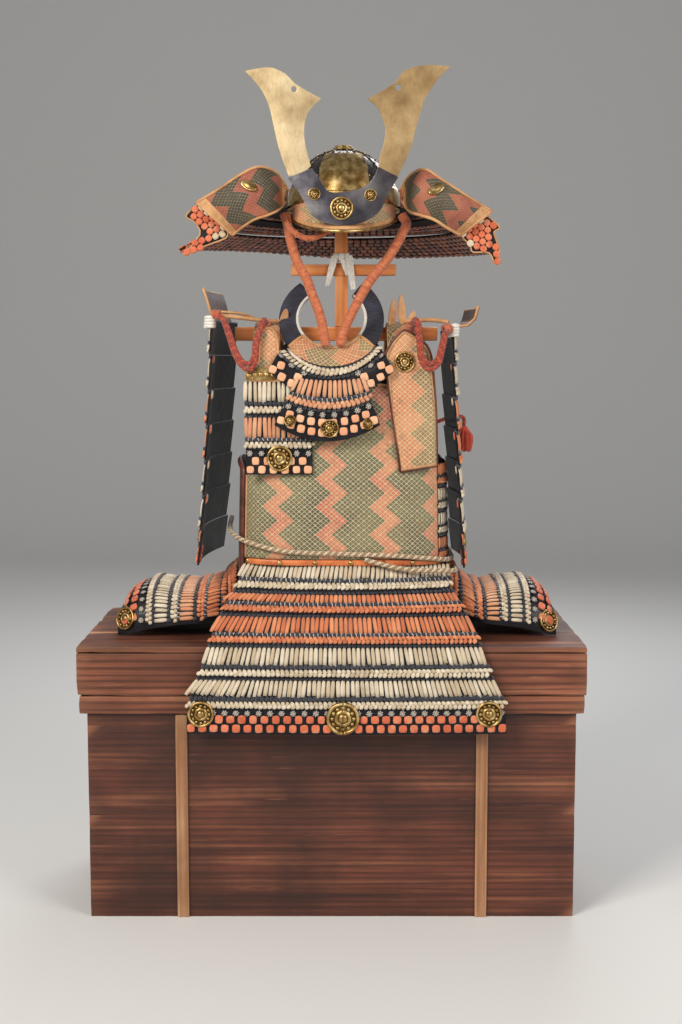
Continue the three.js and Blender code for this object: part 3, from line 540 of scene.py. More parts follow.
def strand(name, sections, sides=6):
    """One strand, lying down the -Y axis from 0 to -1: place, half width, half thickness, lift, shift."""
    verts, uvs, faces = [], [], []
    for y_, wide, thick, lift, shift in sections:
        for k in range(sides):
            t = 2 * math.pi * k / sides
            verts.append((wide * math.cos(t) + shift, y_ / MM, thick * math.sin(t) + lift))
            uvs.append((math.cos(t), -y_))
    for s in range(len(sections) - 1):
        for k in range(sides):
            m = (k + 1) % sides
            faces.append((s * sides + k, s * sides + m, (s + 1) * sides + m, (s + 1) * sides + k))
    faces += [tuple(range(sides))[::-1], tuple((len(sections) - 1) * sides + k for k in range(sides))]
    made = piece(name, verts, faces, SILK["cream"], uvs)
    made.hide_render = True
    return made


PATTERNS = {
    # an upright braid: it comes out of its hole rounded, bows a little and goes in again
    "lace": strand("lace_strand", [(0, 1.6, 0.7, 0.1, 0), (-0.06, 3.1, 1.2, 0.9, 0), (-0.28, 3.75, 1.3, 1.7, 0),
                                   (-0.7, 3.7, 1.3, 1.6, 0), (-1, 3.3, 1.0, 0.5, 0)]),
    # one leaf of a plait, seen between two crossings
    "leaf": strand("plait_leaf", [(0.06, 1.0, 0.8, 0.0, 0), (-0.26, 3.7, 2.4, 1.4, 0), (-0.74, 3.7, 2.4, 1.4, 0),
                                  (-1.06, 1.0, 0.8, 0.1, 0)]),
    "fleck": strand("fleck", [(0, 0.5, 0.5, 0.6, 0), (-0.5, 0.95, 0.9, 2.0, 0), (-1, 0.5, 0.5, 0.6, 0)], 5),
}


def cushion(name, half, height, power, grooves):
    """A small pad of crossing threads, half a millimetre sizes, flat at the back."""
    sides, verts, uvs, faces = 12, [], [], []
    for f, z in ((1.0, 0), (1.0, 0.5), (0.84, 0.9), (0.5, 1.0)):
        for k in range(sides):
            t = 2 * math.pi * (k + 0.5) / sides
            c, s = math.cos(t), math.sin(t)
            r = half / (abs(c) ** power + abs(s) ** power) ** (1 / power)
            r *= 1 - grooves * (k % 2)
            verts.append((r * f * c, r * f * s, z * height))
            uvs.append((f * c, f * s))
    for j in range(3):
        faces += [(j * sides + k, j * sides + (k + 1) % sides, (j + 1) * sides + (k + 1) % sides,
                   (j + 1) * sides + k) for k in range(sides)]
    faces += [tuple(range(sides))[::-1], tuple(3 * sides + k for k in range(sides))]
    made = piece(name, verts, faces, SILK["cream"], uvs)
    made.hide_render = True
    return made


PATTERNS["square"] = cushion("cross_knot", 7.1, 3.4, 5, 0.0)
PATTERNS["scale"] = cushion("scale_knot", 6.3, 3.2, 3, 0.0)
PATTERNS["flower"] = cushion("flower_knot", 6.6, 2.6, 2, 0.22)



def crossed(name, dark, light, faded, seam_shade):
    """Silk of a cross-knot: its threads run both ways over the pad."""
    paint = Paint(name, 0.6, sheen=0.35)
    m = paint.math
    tone = paint.node("Attribute", attribute_name="tone").outputs["Fac"]
    u, v = paint.node("SeparateXYZ", paint.at(source="UV")).outputs[:2]
    cross = m("MINIMUM", m("ABSOLUTE", m("ADD", u, v)), m("ABSOLUTE", m("SUBTRACT", u, v)))
    base = paint.mix(paint.step(paint.noise(paint.at(), 60, 3), 0.5, 0.75), paint.mix(tone, dark, light), faded)
    # painted shade: the grooves where the threads cross are coloured darker
    paint.colour(paint.mix(m("MULTIPLY", paint.step(cross, 0.1, 0.0), 0.35), base, seam_shade))
    paint.bump(cross, 1.0, 0.5)
    paint.bump(m("PINGPONG", m("MULTIPLY", m("ADD", u, v), 6), 1), 0.25, 0.6)
    return paint


KNOTS = {"orange": crossed("knot_silk", "c2562c", "e2764c", "d8906a", "7e3c22"),
         "pale_orange": crossed("faded_knot_silk", "e29a70", "f4bc92", "e0b08a", "a0623c")}

flower_silk = Paint("flower_silk", 0.6, sheen=0.3)
u, v = flower_silk.node("SeparateXYZ", flower_silk.at(source="UV")).outputs[:2]
ray = flower_silk.math("PINGPONG", flower_silk.math("MULTIPLY", flower_silk.math("ARCTAN2", v, u), 8 / math.pi), 1)
far = flower_silk.math("SQRT", flower_silk.math("ADD", flower_silk.math("MULTIPLY", u, u),
                                                flower_silk.math("MULTIPLY", v, v)))
petal = flower_silk.math("MULTIPLY", flower_silk.step(ray, 0.42, 0.58), flower_silk.step(far, 0.95, 0.8))
eye = flower_silk.step(far, 0.22, 0.14)
petal = flower_silk.math("MAXIMUM", petal, eye)
flower_silk.colour(flower_silk.mix(petal, "1d1c28", "cfc4b4"))
flower_silk.bump(petal, 0.5, 0.8)


def lacing_tree(name, in_rows):
    """Nodes that seat one pattern at each point, or every pitch along each row, facing outwards."""
    tree = bpy.data.node_groups.new(name, "GeometryNodeTree")
    kinds = [("Rows", "Geometry"), ("Pattern", "Object"), ("Pitch", "Float"), ("Swing", "Float"),
             ("Uneven", "Float"), ("Seed", "Int"), ("Finish", "Material")]
    for title, kind in kinds:
        tree.interface.new_socket(title, in_out="INPUT", socket_type="NodeSocket" + kind)
    tree.interface.new_socket("Laced", in_out="OUTPUT", socket_type="NodeSocketGeometry")

    def node(kind, **settings):
        made = tree.nodes.new(kind)
        for key, value in settings.items():
            setattr(made, key, value)
        return made

    def link(a, b):
        tree.links.new(a, b)

    def attribute(title, kind):
        made = node("GeometryNodeInputNamedAttribute", data_type=kind)
        made.inputs["Name"].default_value = title
        return made.outputs["Attribute"]

    def chance(low, high, seed_shift):
        made = node("FunctionNodeRandomValue", data_type="FLOAT")
        for socket, value in ((made.inputs[2], low), (made.inputs[3], high)):
            if isinstance(value, (int, float)):
                socket.default_value = value
            else:
                link(value, socket)
        shift = node("ShaderNodeMath", operation="ADD")
        link(given["Seed"], shift.inputs[0])
        shift.inputs[1].default_value = seed_shift
        link(shift.outputs[0], made.inputs["Seed"])
        return made.outputs[1]

    def sum_of(operation, a, b):
        made = node("ShaderNodeMath", operation=operation)
        for socket, value in zip(made.inputs, (a, b)):
            if isinstance(value, (int, float)):
                socket.default_value = value
            else:
                link(value, socket)
        return made.outputs[0]

    given = node("NodeGroupInput").outputs
    source = given["Rows"]
    if in_rows:
        curve = node("GeometryNodeMeshToCurve")
        link(given["Rows"], curve.inputs["Mesh"])
        resample = node("GeometryNodeResampleCurve", mode="LENGTH")
        link(curve.outputs[0], resample.inputs["Curve"])
        link(given["Pitch"], resample.inputs["Length"])
        source = resample.outputs[0]
        tangent = node("GeometryNodeInputTangent").outputs[0]
    else:
        tangent = attribute("along", "FLOAT_VECTOR")
    axes = node("FunctionNodeAxesToRotation", primary_axis="Z", secondary_axis="X")
    link(attribute("face", "FLOAT_VECTOR"), axes.inputs[0])
    link(tangent, axes.inputs[1])
    minus = sum_of("MULTIPLY", given["Swing"], -1.0)
    swing = sum_of("ADD", attribute("slant", "FLOAT"), chance(minus, given["Swing"], 1))
    turn = node("FunctionNodeAxisAngleToRotation")
    turn.inputs[0].default_value = (0, 0, 1)
    link(swing, turn.inputs[1])
    both = node("FunctionNodeRotateRotation", rotation_space="LOCAL")
    link(axes.outputs[0], both.inputs[0])
    link(turn.outputs[0], both.inputs[1])
    size = node("ShaderNodeCombineXYZ")
    small, big = sum_of("SUBTRACT", 1.0, given["Uneven"]), sum_of("ADD", 1.0, given["Uneven"])
    link(chance(small, big, 2), size.inputs[0])
    link(sum_of("MULTIPLY", attribute("fall", "FLOAT"), chance(small, big, 3)), size.inputs[1])
    link(chance(small, big, 4), size.inputs[2])
    pattern = node("GeometryNodeObjectInfo")
    link(given["Pattern"], pattern.inputs[0])
    seat = node("GeometryNodeInstanceOnPoints")
    link(source, seat.inputs["Points"])
    link(pattern.outputs["Geometry"], seat.inputs["Instance"])
    link(both.outputs[0], seat.inputs["Rotation"])
    link(size.outputs[0], seat.inputs["Scale"])
    shade = node("GeometryNodeStoreNamedAttribute", data_type="FLOAT", domain="INSTANCE")
    link(seat.outputs[0], shade.inputs["Geometry"])
    shade.inputs["Name"].default_value = "tone"
    link(chance(0.0, 1.0, 5), shade.inputs["Value"])
    real = node("GeometryNodeRealizeInstances")
    link(shade.outputs[0], real.inputs[0])
    finish = node("GeometryNodeSetMaterial")
    link(real.outputs[0], finish.inputs["Geometry"])
    link(given["Finish"], finish.inputs["Material"])
    link(finish.outputs[0], node("NodeGroupOutput").inputs[0])
    return tree


ROW_TREE, SEAT_TREE = lacing_tree("laced_rows", True), lacing_tree("seated_fittings", False)


def lay(name, places, pattern, paint, pitch=8.4, swing=0.0, uneven=0.06, seed=1, chains=None):
    """Lays one pattern on places (point, face, along, fall, slant), or every pitch along their chains."""
    mesh = bpy.data.meshes.new(name)
    edges = [(k, k + 1) for start, count in (chains or []) for k in range(start, start + count - 1)]
    mesh.from_pydata([Vector(p[0]) * MM for p in places], edges, [])
    for key, title in ((1, "face"), (2, "along")):
        values = mesh.attributes.new(title, "FLOAT_VECTOR", "POINT")
        values.data.foreach_set("vector", [x for p in places for x in p[key]])
    for key, title in ((3, "fall"), (4, "slant")):
        values = mesh.attributes.new(title, "FLOAT", "POINT")
        values.data.foreach_set("value", [p[key] for p in places])
    rows = bpy.data.objects.new(name + "_rows", mesh)
    scene.collection.objects.link(rows)
    nodes = rows.modifiers.new("lacing", "NODES")
    nodes.node_group = ROW_TREE if chains else SEAT_TREE
    settings = {"Pattern": pattern, "Pitch": pitch * MM, "Swing": swing, "Uneven": uneven, "Seed": seed,
                "Finish": paint.mat}
    for item in nodes.node_group.interface.items_tree:
        if item.in_out == "INPUT" and item.name in settings:
            nodes[item.identifier] = settings[item.name]
    baked = bpy.data.meshes.new_from_object(rows.evaluated_get(bpy.context.evaluated_depsgraph_get()))
    baked.name = name
    bpy.data.objects.remove(rows)
    made = bpy.data.objects.new(name, baked)
    scene.collection.objects.link(made)
    return made


def chain(surface, v, drop, u0=0.0, u1=1.0, slant=0.0, count=28, lift=0.0):
    """Places along a surface at height v: surface(u, v) gives a point; each pattern falls to v - drop."""
    places = []
    for u in spread(count, u0, u1):
        p, e = surface(u, v), 0.004
        side = (surface(min(u + e, 1), v) - surface(max(u - e, 0), v)).normalized()
        below = surface(u, v - drop) - p
        face = side.cross(-below).normalized()
        up = face.cross(side)
        lean = math.atan2(below.dot(side), -below.dot(up))
        own = slant(u) if callable(slant) else slant
        places.append((p + face * lift, face, side, below.length * MM, lean + own))
    return places


class Lacing:
    """Collects rows of lacing over one piece, one list for each pattern and colour."""

    def __init__(self, name):
        self.name, self.lists = name, {}

    def row(self, kind, colour, surface, v, drop, pitch=8.4, trim=0.0, **more):
        places = chain(surface, v, drop, **more)
        length = sum((Vector(a[0]) - Vector(b[0])).length for a, b in zip(places, places[1:]))
        if trim:
            u0, u1 = more.get("u0", 0.0), more.get("u1", 1.0)
            cut = trim * pitch / length * (u1 - u0)
            more["u0"], more["u1"] = u0 + cut, u1 - cut
            places = chain(surface, v, drop, **more)
        if kind in ("square", "flower", "scale"):
            places = [(*p[:3], 1.0, p[4]) for p in places]
        listed = self.lists.setdefault((kind, colour, pitch), ([], []))
        listed[1].append((len(listed[0]), len(places)))
        listed[0].extend(places)

    def plait(self, colour, surface, v, drop, **more):
        """Two rows of leaves that lean towards each other and meet along the middle: the edge plait."""
        self.row("leaf", colour, surface, v + drop * 0.04, drop * 0.66, slant=0.72, lift=0.3, **more)
        self.row("leaf", colour, surface, v - drop * 0.36, drop * 0.66, slant=-0.72, lift=0.9, trim=0.25, **more)

    def picots(self, colour, surface, v, drop, flecks=0.0, **more):
        """A single dark row under the braids, some of it flecked with white thread."""
        self.row("leaf", colour, surface, v, drop, slant=0.35, lift=-0.2, **more)
        if flecks:
            self.row("fleck", "white", surface, v, drop, trim=0.5, lift=0.8, slant=0.1, **more)

    def finish(self, slot="laced_lames", seed=7):
        for n, ((kind, colour, pitch), (places, chains)) in enumerate(sorted(self.lists.items())):
            paint = {"square": KNOTS.get(colour), "flower": flower_silk}.get(kind) or SILK[colour]
            swing = {"lace": 0.05, "leaf": 0.08, "fleck": 0.3, "flower": 0.3}.get(kind, 0.06)
            uneven = {"lace": 0.09, "square": 0.07}.get(kind, 0.08)
            made = lay(f"{self.name}_{kind}_{colour}_{n}", places, PATTERNS[kind], paint, pitch, swing, uneven,
                       seed + n, chains)
            fasten(made, slot)


edge = [[waist(d, z) for d in spread(84, -154, 154)] for z in (0,)]  # directions of the wall's columns
columns = spread(84, -154, 154)
grid = [[waist(d, BODY["bottom"] + (along(TOP_EDGE, d) - BODY["bottom"]) * v) for d in columns]
        for v in spread(16, 1, 0)]
wrap = piece("cuirass_wrap", *wall(grid, 3), black_lacquer)
fasten(soften(wrap, 0.8), "laced_lames", "cuirass_wrap")


def round_body(low, high, grow=0.3):
    """A stretch of the cuirass's outside between two directions, as a surface for lacing."""
    return lambda u, z: waist(low + (high - low) * u, z, grow)


body_lacing = Lacing("cuirass_lacing")
for k, colour in enumerate(("orange", "cream", "cream", "orange")):
    top = 846 - 46.5 * k
    for low, high in ((-35, 142),):
        side = round_body(low, high)
        body_lacing.row("lace", colour, side, top - 1, 21, count=60)
        body_lacing.picots("navy", side, top - 22.5, 6, count=60)
        body_lacing.plait(colour, side, top - 28.5, 11, count=60)
        body_lacing.picots("navy", side, top - 40.5, 5.5, count=60)
for k, colour in enumerate(("cream", "orange", "cream")):
    back = round_body(48, 132)
    top = 982 - 45 * k
    body_lacing.row("lace", colour, back, top - 1, 21)
    body_lacing.picots("navy", back, top - 22.5, 6)
    body_lacing.plait(colour, back, top - 28.5, 11)
    body_lacing.picots("navy", back, top - 40.5, 4)
body_lacing.finish(seed=11)

# Front of the cuirass: smoked deerskin, stencilled with zigzags of small flower lozenges in salmon on
# grey-green, stretched over the lames. A rolled tan edging closes it at the left and along its top.


def print_on(name, cell, origin, every, share, salmon, ground, line, tan=None, petals=1.0, worn="8a6a4a", width=0.08):
    """Stencilled leather: lozenges of a given width and height, and a zigzag stripe every few of them."""
    paint = Paint(name, 0.6, sheen=0.1)
    u, v = paint.node("SeparateXYZ", paint.at(source="UV")).outputs[:2]
    m = paint.math
    across = m("DIVIDE", m("SUBTRACT", u, origin[0]), cell[0])
    up = m("DIVIDE", m("SUBTRACT", v, origin[1]), cell[1])
    a, b = m("ADD", across, up), m("SUBTRACT", across, up)
    i, j = m("FLOOR", a), m("FLOOR", b)
    middle_x = m("MULTIPLY", m("ADD", m("ADD", i, j), 1.0), 0.5)
    middle_z = m("MULTIPLY", m("SUBTRACT", i, j), 0.5)
    stripe = m("FRACT", m("DIVIDE", m("ADD", middle_x, m("PINGPONG", middle_z, 3.0)), every))
    stripe = m("LESS_THAN", stripe, share / every)
    near = m("MINIMUM", m("PINGPONG", a, 0.5), m("PINGPONG", b, 0.5))
    fibres = paint.noise(paint.at(), 420, 3)
    line_mask = paint.step(m("ADD", near, m("MULTIPLY", m("SUBTRACT", fibres, 0.5), 0.12)), width, width * 0.5)
    star = m("SQRT", m("ADD", m("POWER", m("PINGPONG", a, 1.0), 2.0), m("POWER", m("PINGPONG", b, 1.0), 2.0)))
    star = m("MULTIPLY", paint.step(star, 0.5, 0.26), petals)
    fa, fb = m("SUBTRACT", m("FRACT", a), 0.5), m("SUBTRACT", m("FRACT", b), 0.5)
    leafy = m("ABSOLUTE", m("MULTIPLY", fa, fb))
    petal = m("MULTIPLY", paint.step(leafy, 0.03, 0.075), petals)
    tint = paint.noise(paint.at(), 11, 2)
    shade = paint.noise(paint.at(), 46, 3)
    field = paint.mix(paint.step(tint, 0.4, 0.62), ground[0], ground[1])
    pink = paint.mix(paint.step(tint, 0.38, 0.6), salmon[0], salmon[1])
    field = paint.mix(m("MULTIPLY", petal, 0.6), field, ground[2])
    pink = paint.mix(m("MULTIPLY", petal, 0.45), pink, salmon[2])
    colour = paint.mix(stripe, field, pink)
    colour = paint.mix(m("MULTIPLY", star, 0.3), colour, line)
    colour = paint.mix(m("MULTIPLY", line_mask, 0.9), colour, line)
    colour = paint.mix(m("MULTIPLY", paint.step(shade, 0.55, 0.8), 0.5), colour, worn)
    if tan:
        colour = paint.mix(paint.node("Attribute", attribute_name="edging").outputs["Fac"], colour, tan)
    paint.colour(colour)
    paint.rough(shade, 0.5, 0.8)
    paint.bump(line_mask, 0.25, 0.5)
    paint.bump(fibres, 0.2, 0.6)
    return paint


def skin(name, grid, thick, paint, uv):
    """A leather wall over a grid of points, with flat coordinates in millimetres for its print."""
    verts, faces = wall(grid, thick)
    half = len(verts) // 2
    uvs = [uv(r, c) for r in range(len(grid)) for c in range(len(grid[0]))]
    return piece(name, verts, faces, paint, uvs + uvs[:half])


def plain_leather(name, dark, light, worn, rough=0.5):
    paint = Paint(name, rough)
    hide = paint.noise(paint.at(), 24, 5, 0.6)
    pores = paint.node("TexVoronoi", paint.at()).outputs["Distance"]
    pores.node.inputs["Scale"].default_value = 900
    colour = paint.ramp(hide, (0.32, dark), (0.6, light))
    rub = paint.noise(paint.at(), 90, 4, 0.65)
    paint.colour(paint.mix(paint.math("MULTIPLY", paint.step(rub, 0.55, 0.75), 0.5), colour, worn))
    paint.rough(hide, rough - 0.1, rough + 0.15)
    paint.bump(pores, 0.15, 0.6)
    paint.bump(rub, 0.3, 0.4)
    return paint


tan_leather = plain_leather("tan_leather", "a87448", "cf9c6a", "e2c091")
orange_leather = plain_leather("orange_leather", "b4562a", "dc7f45", "e8a36c", 0.42)
brown_leather = plain_leather("brown_leather", "3a1e16", "66362a", "8a5340", 0.4)
ZIGZAG = dict(cell=(9.88, 8.6), every=10, share=3)
chest_print = print_on("chest_print", ZIGZAG["cell"], (-99.2, 793.0), 10, 3,
                       ("bf6450", "cf8660", "8f4f3c"), ("57553f", "777350", "35332a"), "dccaa2")

FRONT = (-146.3, -38.5)
directions = spread(64, *FRONT)
arc, lengths = 0.0, []
for k, d in enumerate(directions):
    arc += (waist(d, 760) - waist(directions[k - 1], 760)).length if k else 0
    lengths.append(arc)
centre = min(range(len(directions)), key=lambda k: abs(directions[k] + 90))
shift = waist(directions[centre], 760).x - lengths[centre]
rows = spread(30, 1, 0)
heights = [[669 + (along(TOP_EDGE, d) - 5 - 669) * v for d in directions] for v in rows]


def sag_of(d, z):
    """Soft dents and ripples of old leather, in millimetres."""
    at = Vector((d * 0.03, z * 0.011, 3.1))
    return 0.9 * noise.noise(at) + 0.35 * noise.noise(at * 4)


grid = [[waist(d, z, 2.4 + max(-0.5, sag_of(d, z))) for d, z in zip(directions, line)] for line in heights]
leather = skin("breast_leather", grid, 1.5, chest_print, lambda r, c: (lengths[c] + shift, heights[r][c]))
fasten(leather, "printed_leather", "breast_leather")


def tube(line, radius, sides=10, flat=1.0, uv_scale=1.0):
    """Points, faces and flat coordinates of a round strand along a line, closed at both ends."""
    verts, faces, uvs, run = [], [], [], 0.0
    side = None
    for k, p in enumerate(line):
        p = Vector(p)
        ahead = (Vector(line[min(k + 1, len(line) - 1)]) - Vector(line[max(k - 1, 0)])).normalized()
        if side is None:
            side = ahead.orthogonal().normalized()
        side = (side - ahead * side.dot(ahead)).normalized()
        up = ahead.cross(side)
        r = radius(k / (len(line) - 1)) if callable(radius) else radius
        run += (p - Vector(line[k - 1])).length if k else 0
        for s in range(sides):
            t = 2 * math.pi * s / sides
            verts.append(p + side * r * math.cos(t) + up * r * flat * math.sin(t))
            uvs.append((s / sides * uv_scale, run))
        if k:
            for s in range(sides):
                n = (s + 1) % sides
                faces.append(((k - 1) * sides + s, (k - 1) * sides + n, k * sides + n, k * sides + s))
    last = (len(line) - 1) * sides
    return verts, faces + [tuple(range(sides))[::-1], tuple(last + s for s in range(sides))], uvs


left_edge = [waist(-147.2, z, 2.2) for z in spread(12, 668, 846)]
over_top = [waist(d, along(TOP_EDGE, d) - 4, 2.0) for d in spread(60, -146, -39)]
edging = together(*[tube(line, 3.2, 8, 0.6)[:2] for line in (left_edge, over_top)])
fasten(piece("breast_edging", *edging, tan_leather), "plain_leather")

gilt = Paint("gilt", 0.3, metal=1.0)
patina = gilt.noise(gilt.at(), 70, 4, 0.55)
hollow = gilt.step(gilt.node("NewGeometry").outputs["Pointiness"], 0.49, 0.44)
gilt.colour(gilt.mix(gilt.math("MULTIPLY", hollow, 0.85), gilt.ramp(patina, (0.3, "84653a"), (0.5, "b8965c"), (0.72, "e8cf96")), "2e2012"))
gilt.rough(patina, 0.2, 0.5)
gilt.bump(gilt.noise(gilt.at(), 320, 2), 0.15, 0.5)


def pattern(name, *parts):
    made = piece(name, *together(*parts), gilt)
    made.hide_render = True
    return made


RIVET = pattern("rivet_shape", turned([(0, -1), (4.7, -1), (5.0, 0), (4.3, 1.6), (2.7, 2.9), (0, 3.4)], 12))
STUD = pattern("stud_shape", turned([(0, -0.6), (1.9, -0.6), (1.9, 0.4), (1.2, 1.2), (0, 1.5)], 8))


def seats(surface, spots, lift=0.0):
    """Places of single fittings on a surface, from pairs of u and v."""
    places = []
    for u, v in spots:
        side = (surface(u + 0.003, v) - surface(u - 0.003, v)).normalized()
        face = side.cross(surface(u, v + 1) - surface(u, v - 1)).normalized()
        places.append((surface(u, v) + face * lift, face, side, 1.0, 0.0))
    return places


# Waist band: a strip of orange-dyed leather over the lower edge, held by gilt rivets, and the small
# studs that hold the printed leather.
BAND = (-146.3, -23.1)
band_grid = [[waist(d, z, g) for d in spread(48, *BAND)] for z, g in
             ((668, 2.2), (666.8, 3.3), (662.5, 3.6), (658.4, 3.3), (657.2, 2.4))]
fasten(piece("waist_band", *wall(band_grid, 1.6), orange_leather), "orange_leather", "waist_band")


def direction_of(x_mm, low=-150, high=-30):
    """The direction in which the cuirass's front stands at this distance across."""
    return min(spread(480, low, high), key=lambda d: abs(waist(d, 662).x - x_mm))


front = round_body(-180, 0, 3.4)
spots = [((direction_of(17 + (p - 341) * 1.845) + 180) / 180, 662.6) for p in (247, 280, 315, 349, 383, 412, 440)]
small = [((direction_of(x_mm) + 180) / 180, z) for x_mm, z in ((-146, 700), (-149, 742), (-150, 790), (96, 903),
                                                               (104, 882), (128, 905))]
fasten(lay("band_rivets", seats(front, spots), RIVET, gilt, seed=3), "gilt")
fasten(lay("leather_studs", seats(front, small, -0.6), STUD, gilt, seed=4), "gilt")

# Side plate: the separate plate under the wearer's right arm, faced with dark stencilled leather inside
# a broad red-brown leather rim, tied to the cuirass by cords.
side_print = print_on("side_print", (8.4, 7.2), (0, 0), 10, 0, ("5a3a2c",) * 3, ("2e211c", "47342a", "5f4a38"),
                      "6d5640", worn="2a1c17")


def side_point(u, v, out=4.2):
    d = 151 + 58 * u
    low = 590 + 12 * math.cos(math.radians(5 * (d - 182)))
    high = 820 + 34 * math.cos(math.radians(2.4 * (d - 182)))
    return waist(d, low + (high - low) * v, out)


grid = [[side_point(u, v) for u in spread(20)] for v in spread(18, 1, 0)]
plate = skin("side_plate", grid, 3, side_print, lambda r, c: (c * 9, r * 14.5))
fasten(plate, "plain_leather", "side_plate")
around = ([side_point(0.03, v, 5) for v in spread(14, 0.02, 0.97)]
          + [side_point(u, 0.985, 5) for u in spread(14, 0.05, 0.95)]
          + [side_point(0.97, v, 5) for v in spread(14, 0.97, 0.02)]
          + [side_point(u, 0.015, 5) for u in spread(14, 0.95, 0.05)])
fasten(piece("side_plate_rim", *tube(around, 5.5, 10, 0.5)[:2], brown_leather), "plain_leather")

# Shoulder straps: stiff straps of stencilled leather with tan edges, from the back over the shoulder
# bar and down to the breast, where a gilt fitting holds each.
strap_print = print_on("strap_print", (9, 8), (0, 0), 10, 4, ("b06a4a", "c18158", "7a4632"),
                       ("5c4e3a", "6e5d42", "382f26"), "cfae7e")
STRAP = [(129, 975), (138, 1014), (120, 1060), (60, 1097), (14, 1103.9), (-14, 1103.9), (-44, 1099.5),
         (-88, 1076), (-118, 1024)]


def smooth_line(points, count):
    """Points along a centripetal spline through the given ones, as the part's source draws its cords."""
    p = [Vector(q) for q in points]
    p = [p[0] * 2 - p[1], *p, p[-1] * 2 - p[-2]]
    made = []
    for n in range(count + 1):
        place = n / count * (len(p) - 3)
        k = min(int(place), len(p) - 4)
        t, q = place - k, p[k:k + 4]
        gap = [max(1e-6, (q[a + 1] - q[a]).length ** 0.5) for a in range(3)]
        m1 = ((q[1] - q[0]) / gap[0] - (q[2] - q[0]) / (gap[0] + gap[1]) + (q[2] - q[1]) / gap[1]) * gap[1]
        m2 = ((q[2] - q[1]) / gap[1] - (q[3] - q[1]) / (gap[1] + gap[2]) + (q[3] - q[2]) / gap[2]) * gap[1]
        made.append(q[1] * (2 * t ** 3 - 3 * t ** 2 + 1) + m1 * (t ** 3 - 2 * t ** 2 + t)
                    + q[2] * (-2 * t ** 3 + 3 * t ** 2) + m2 * (t ** 3 - t ** 2))
    return made


for side, x0 in (("left", -122), ("right", 128)):
    line = [(0, y_ + (4.5 if side == "right" and z_ < 980 else 0), z_) for y_, z_ in STRAP]
    path = smooth_line(line, 36)
    grid = []
    for k, p in enumerate(path):
        ahead = (path[min(k + 1, 36)] - path[max(k - 1, 0)]).normalized()
        out = Vector((1, 0, 0)).cross(ahead)
        grid.append([Vector((x0 - w, p.y, p.z)) - out * (2.5 - 1.8 * abs(w / 23) ** 4) for w in spread(10, -23, 23)])
    run = [(path[k] - path[0]).length for k in range(37)]
    strap = skin("shoulder_strap_" + side, grid, 4.2, strap_print, lambda r, c: (c * 4.6, run[r]))
    fasten(soften(strap, 0.6), "plain_leather", "shoulder_strap_" + side)
    rims = [tube([row[c] for row in grid], 2.0, 8)[:2] for c in (0, 10)]
    fasten(piece(f"strap_edges_{side}", *together(*rims), tan_leather), "plain_leather")

# Front skirt: five curved lames hung one below another on upright braids. Each is a lacquered board edged
# with a plait. The lowest is split in the middle, and carries cross-knots, flower knots and gilt bosses.
FALL = [(659.5, -146, 34, -162, 217), (616, -176, 28, -178, 219), (578, -205, 20, -201, 243),
        (531, -229, 9, -220, 265), (478, -234, 8, -237, 284), (410, -238, 8, -264, 316),
        (361, -240, 8, -264, 319)]
LAMES = [(656.6, 614), (613.7, 576.5), (576.2, 525), (524.7, 464), (463.7, 361)]
LAME_ROWS = [  # what is laced on each lame: kind, colour, top and bottom as shares of its height
    [("lace", "cream", 0, 0.52), ("picots", "navy", 0.5, 0.69, 1), ("plait", "cream", 0.69, 0.97)],
    [("picots", "navy", -0.03, 0.17, 0), ("lace", "orange", 0.16, 0.52), ("picots", "navy", 0.5, 0.68, 1),
     ("plait", "orange", 0.68, 0.97)],
    [("picots", "navy", -0.02, 0.12, 0), ("lace", "orange", 0.11, 0.64), ("picots", "navy", 0.62, 0.75, 1),
     ("plait", "orange", 0.75, 0.98)],
    [("picots", "navy", -0.02, 0.1, 0), ("lace", "cream", 0.1, 0.61), ("picots", "navy", 0.6, 0.74, 0),
     ("plait", "cream", 0.76, 0.98)],
    [("picots", "navy", -0.015, 0.05, 0), ("lace", "cream", 0.045, 0.335), ("picots", "navy", 0.33, 0.42, 0),
     ("plait", "cream", 0.43, 0.56), ("flower", "cream", 0.625, 0.7), ("square", "orange", 0.735, 0.8),
     ("square", "orange", 0.895, 0.95)],
]


def fall_point(u, z, out, ends=None):
    y_, sag, left, right = (along(FALL, z, c) for c in (1, 2, 3, 4))
    a, b_ = ends(left, right) if ends else (left, right)
    x_ = a + (b_ - a) * u
    m = 2 * (x_ - left) / (right - left) - 1
    return Vector((x_, y_ + sag * m * m - out, z))


def lame_surface(lace, bottom, ends=None, mirror=False, out=0.0):
    """A lame's face: its lower edge stands out over the next lame's top. The back skirt is mirrored."""
    def surface(u, z):
        lean = -3 + 6 * (lace - z) / (lace - bottom)
        p = fall_point(1 - u if mirror else u, z, lean + out - (3 if mirror else 0), ends)
        return Vector((p.x, -p.y, p.z)) if mirror else p
    return surface


def board(name, surface, top, bottom, node, wide, thick=3.4, scale=9.8):
    """A lacquered board of small scales laced side by side: its face is faintly ridged."""
    count = max(6, round(wide / scale)) * 4
    grid = []
    for v in spread(3):
        z = top + (bottom - top) * v
        row = []
        for k, u in enumerate(spread(count)):
            e = 0.002
            side = surface(min(1, u + e), z) - surface(max(0, u - e), z)
            out = side.cross(surface(u, z + 0.5) - surface(u, z - 0.5)).normalized()
            row.append(surface(u, z) + out * (0.5 * math.cos(2 * math.pi * k / 4) - 0.6))
        grid.append(row)
    made = piece(name, *wall(grid, thick), black_lacquer)
    return fasten(soften(made, 0.5, 2, 60), "laced_lames", *node)


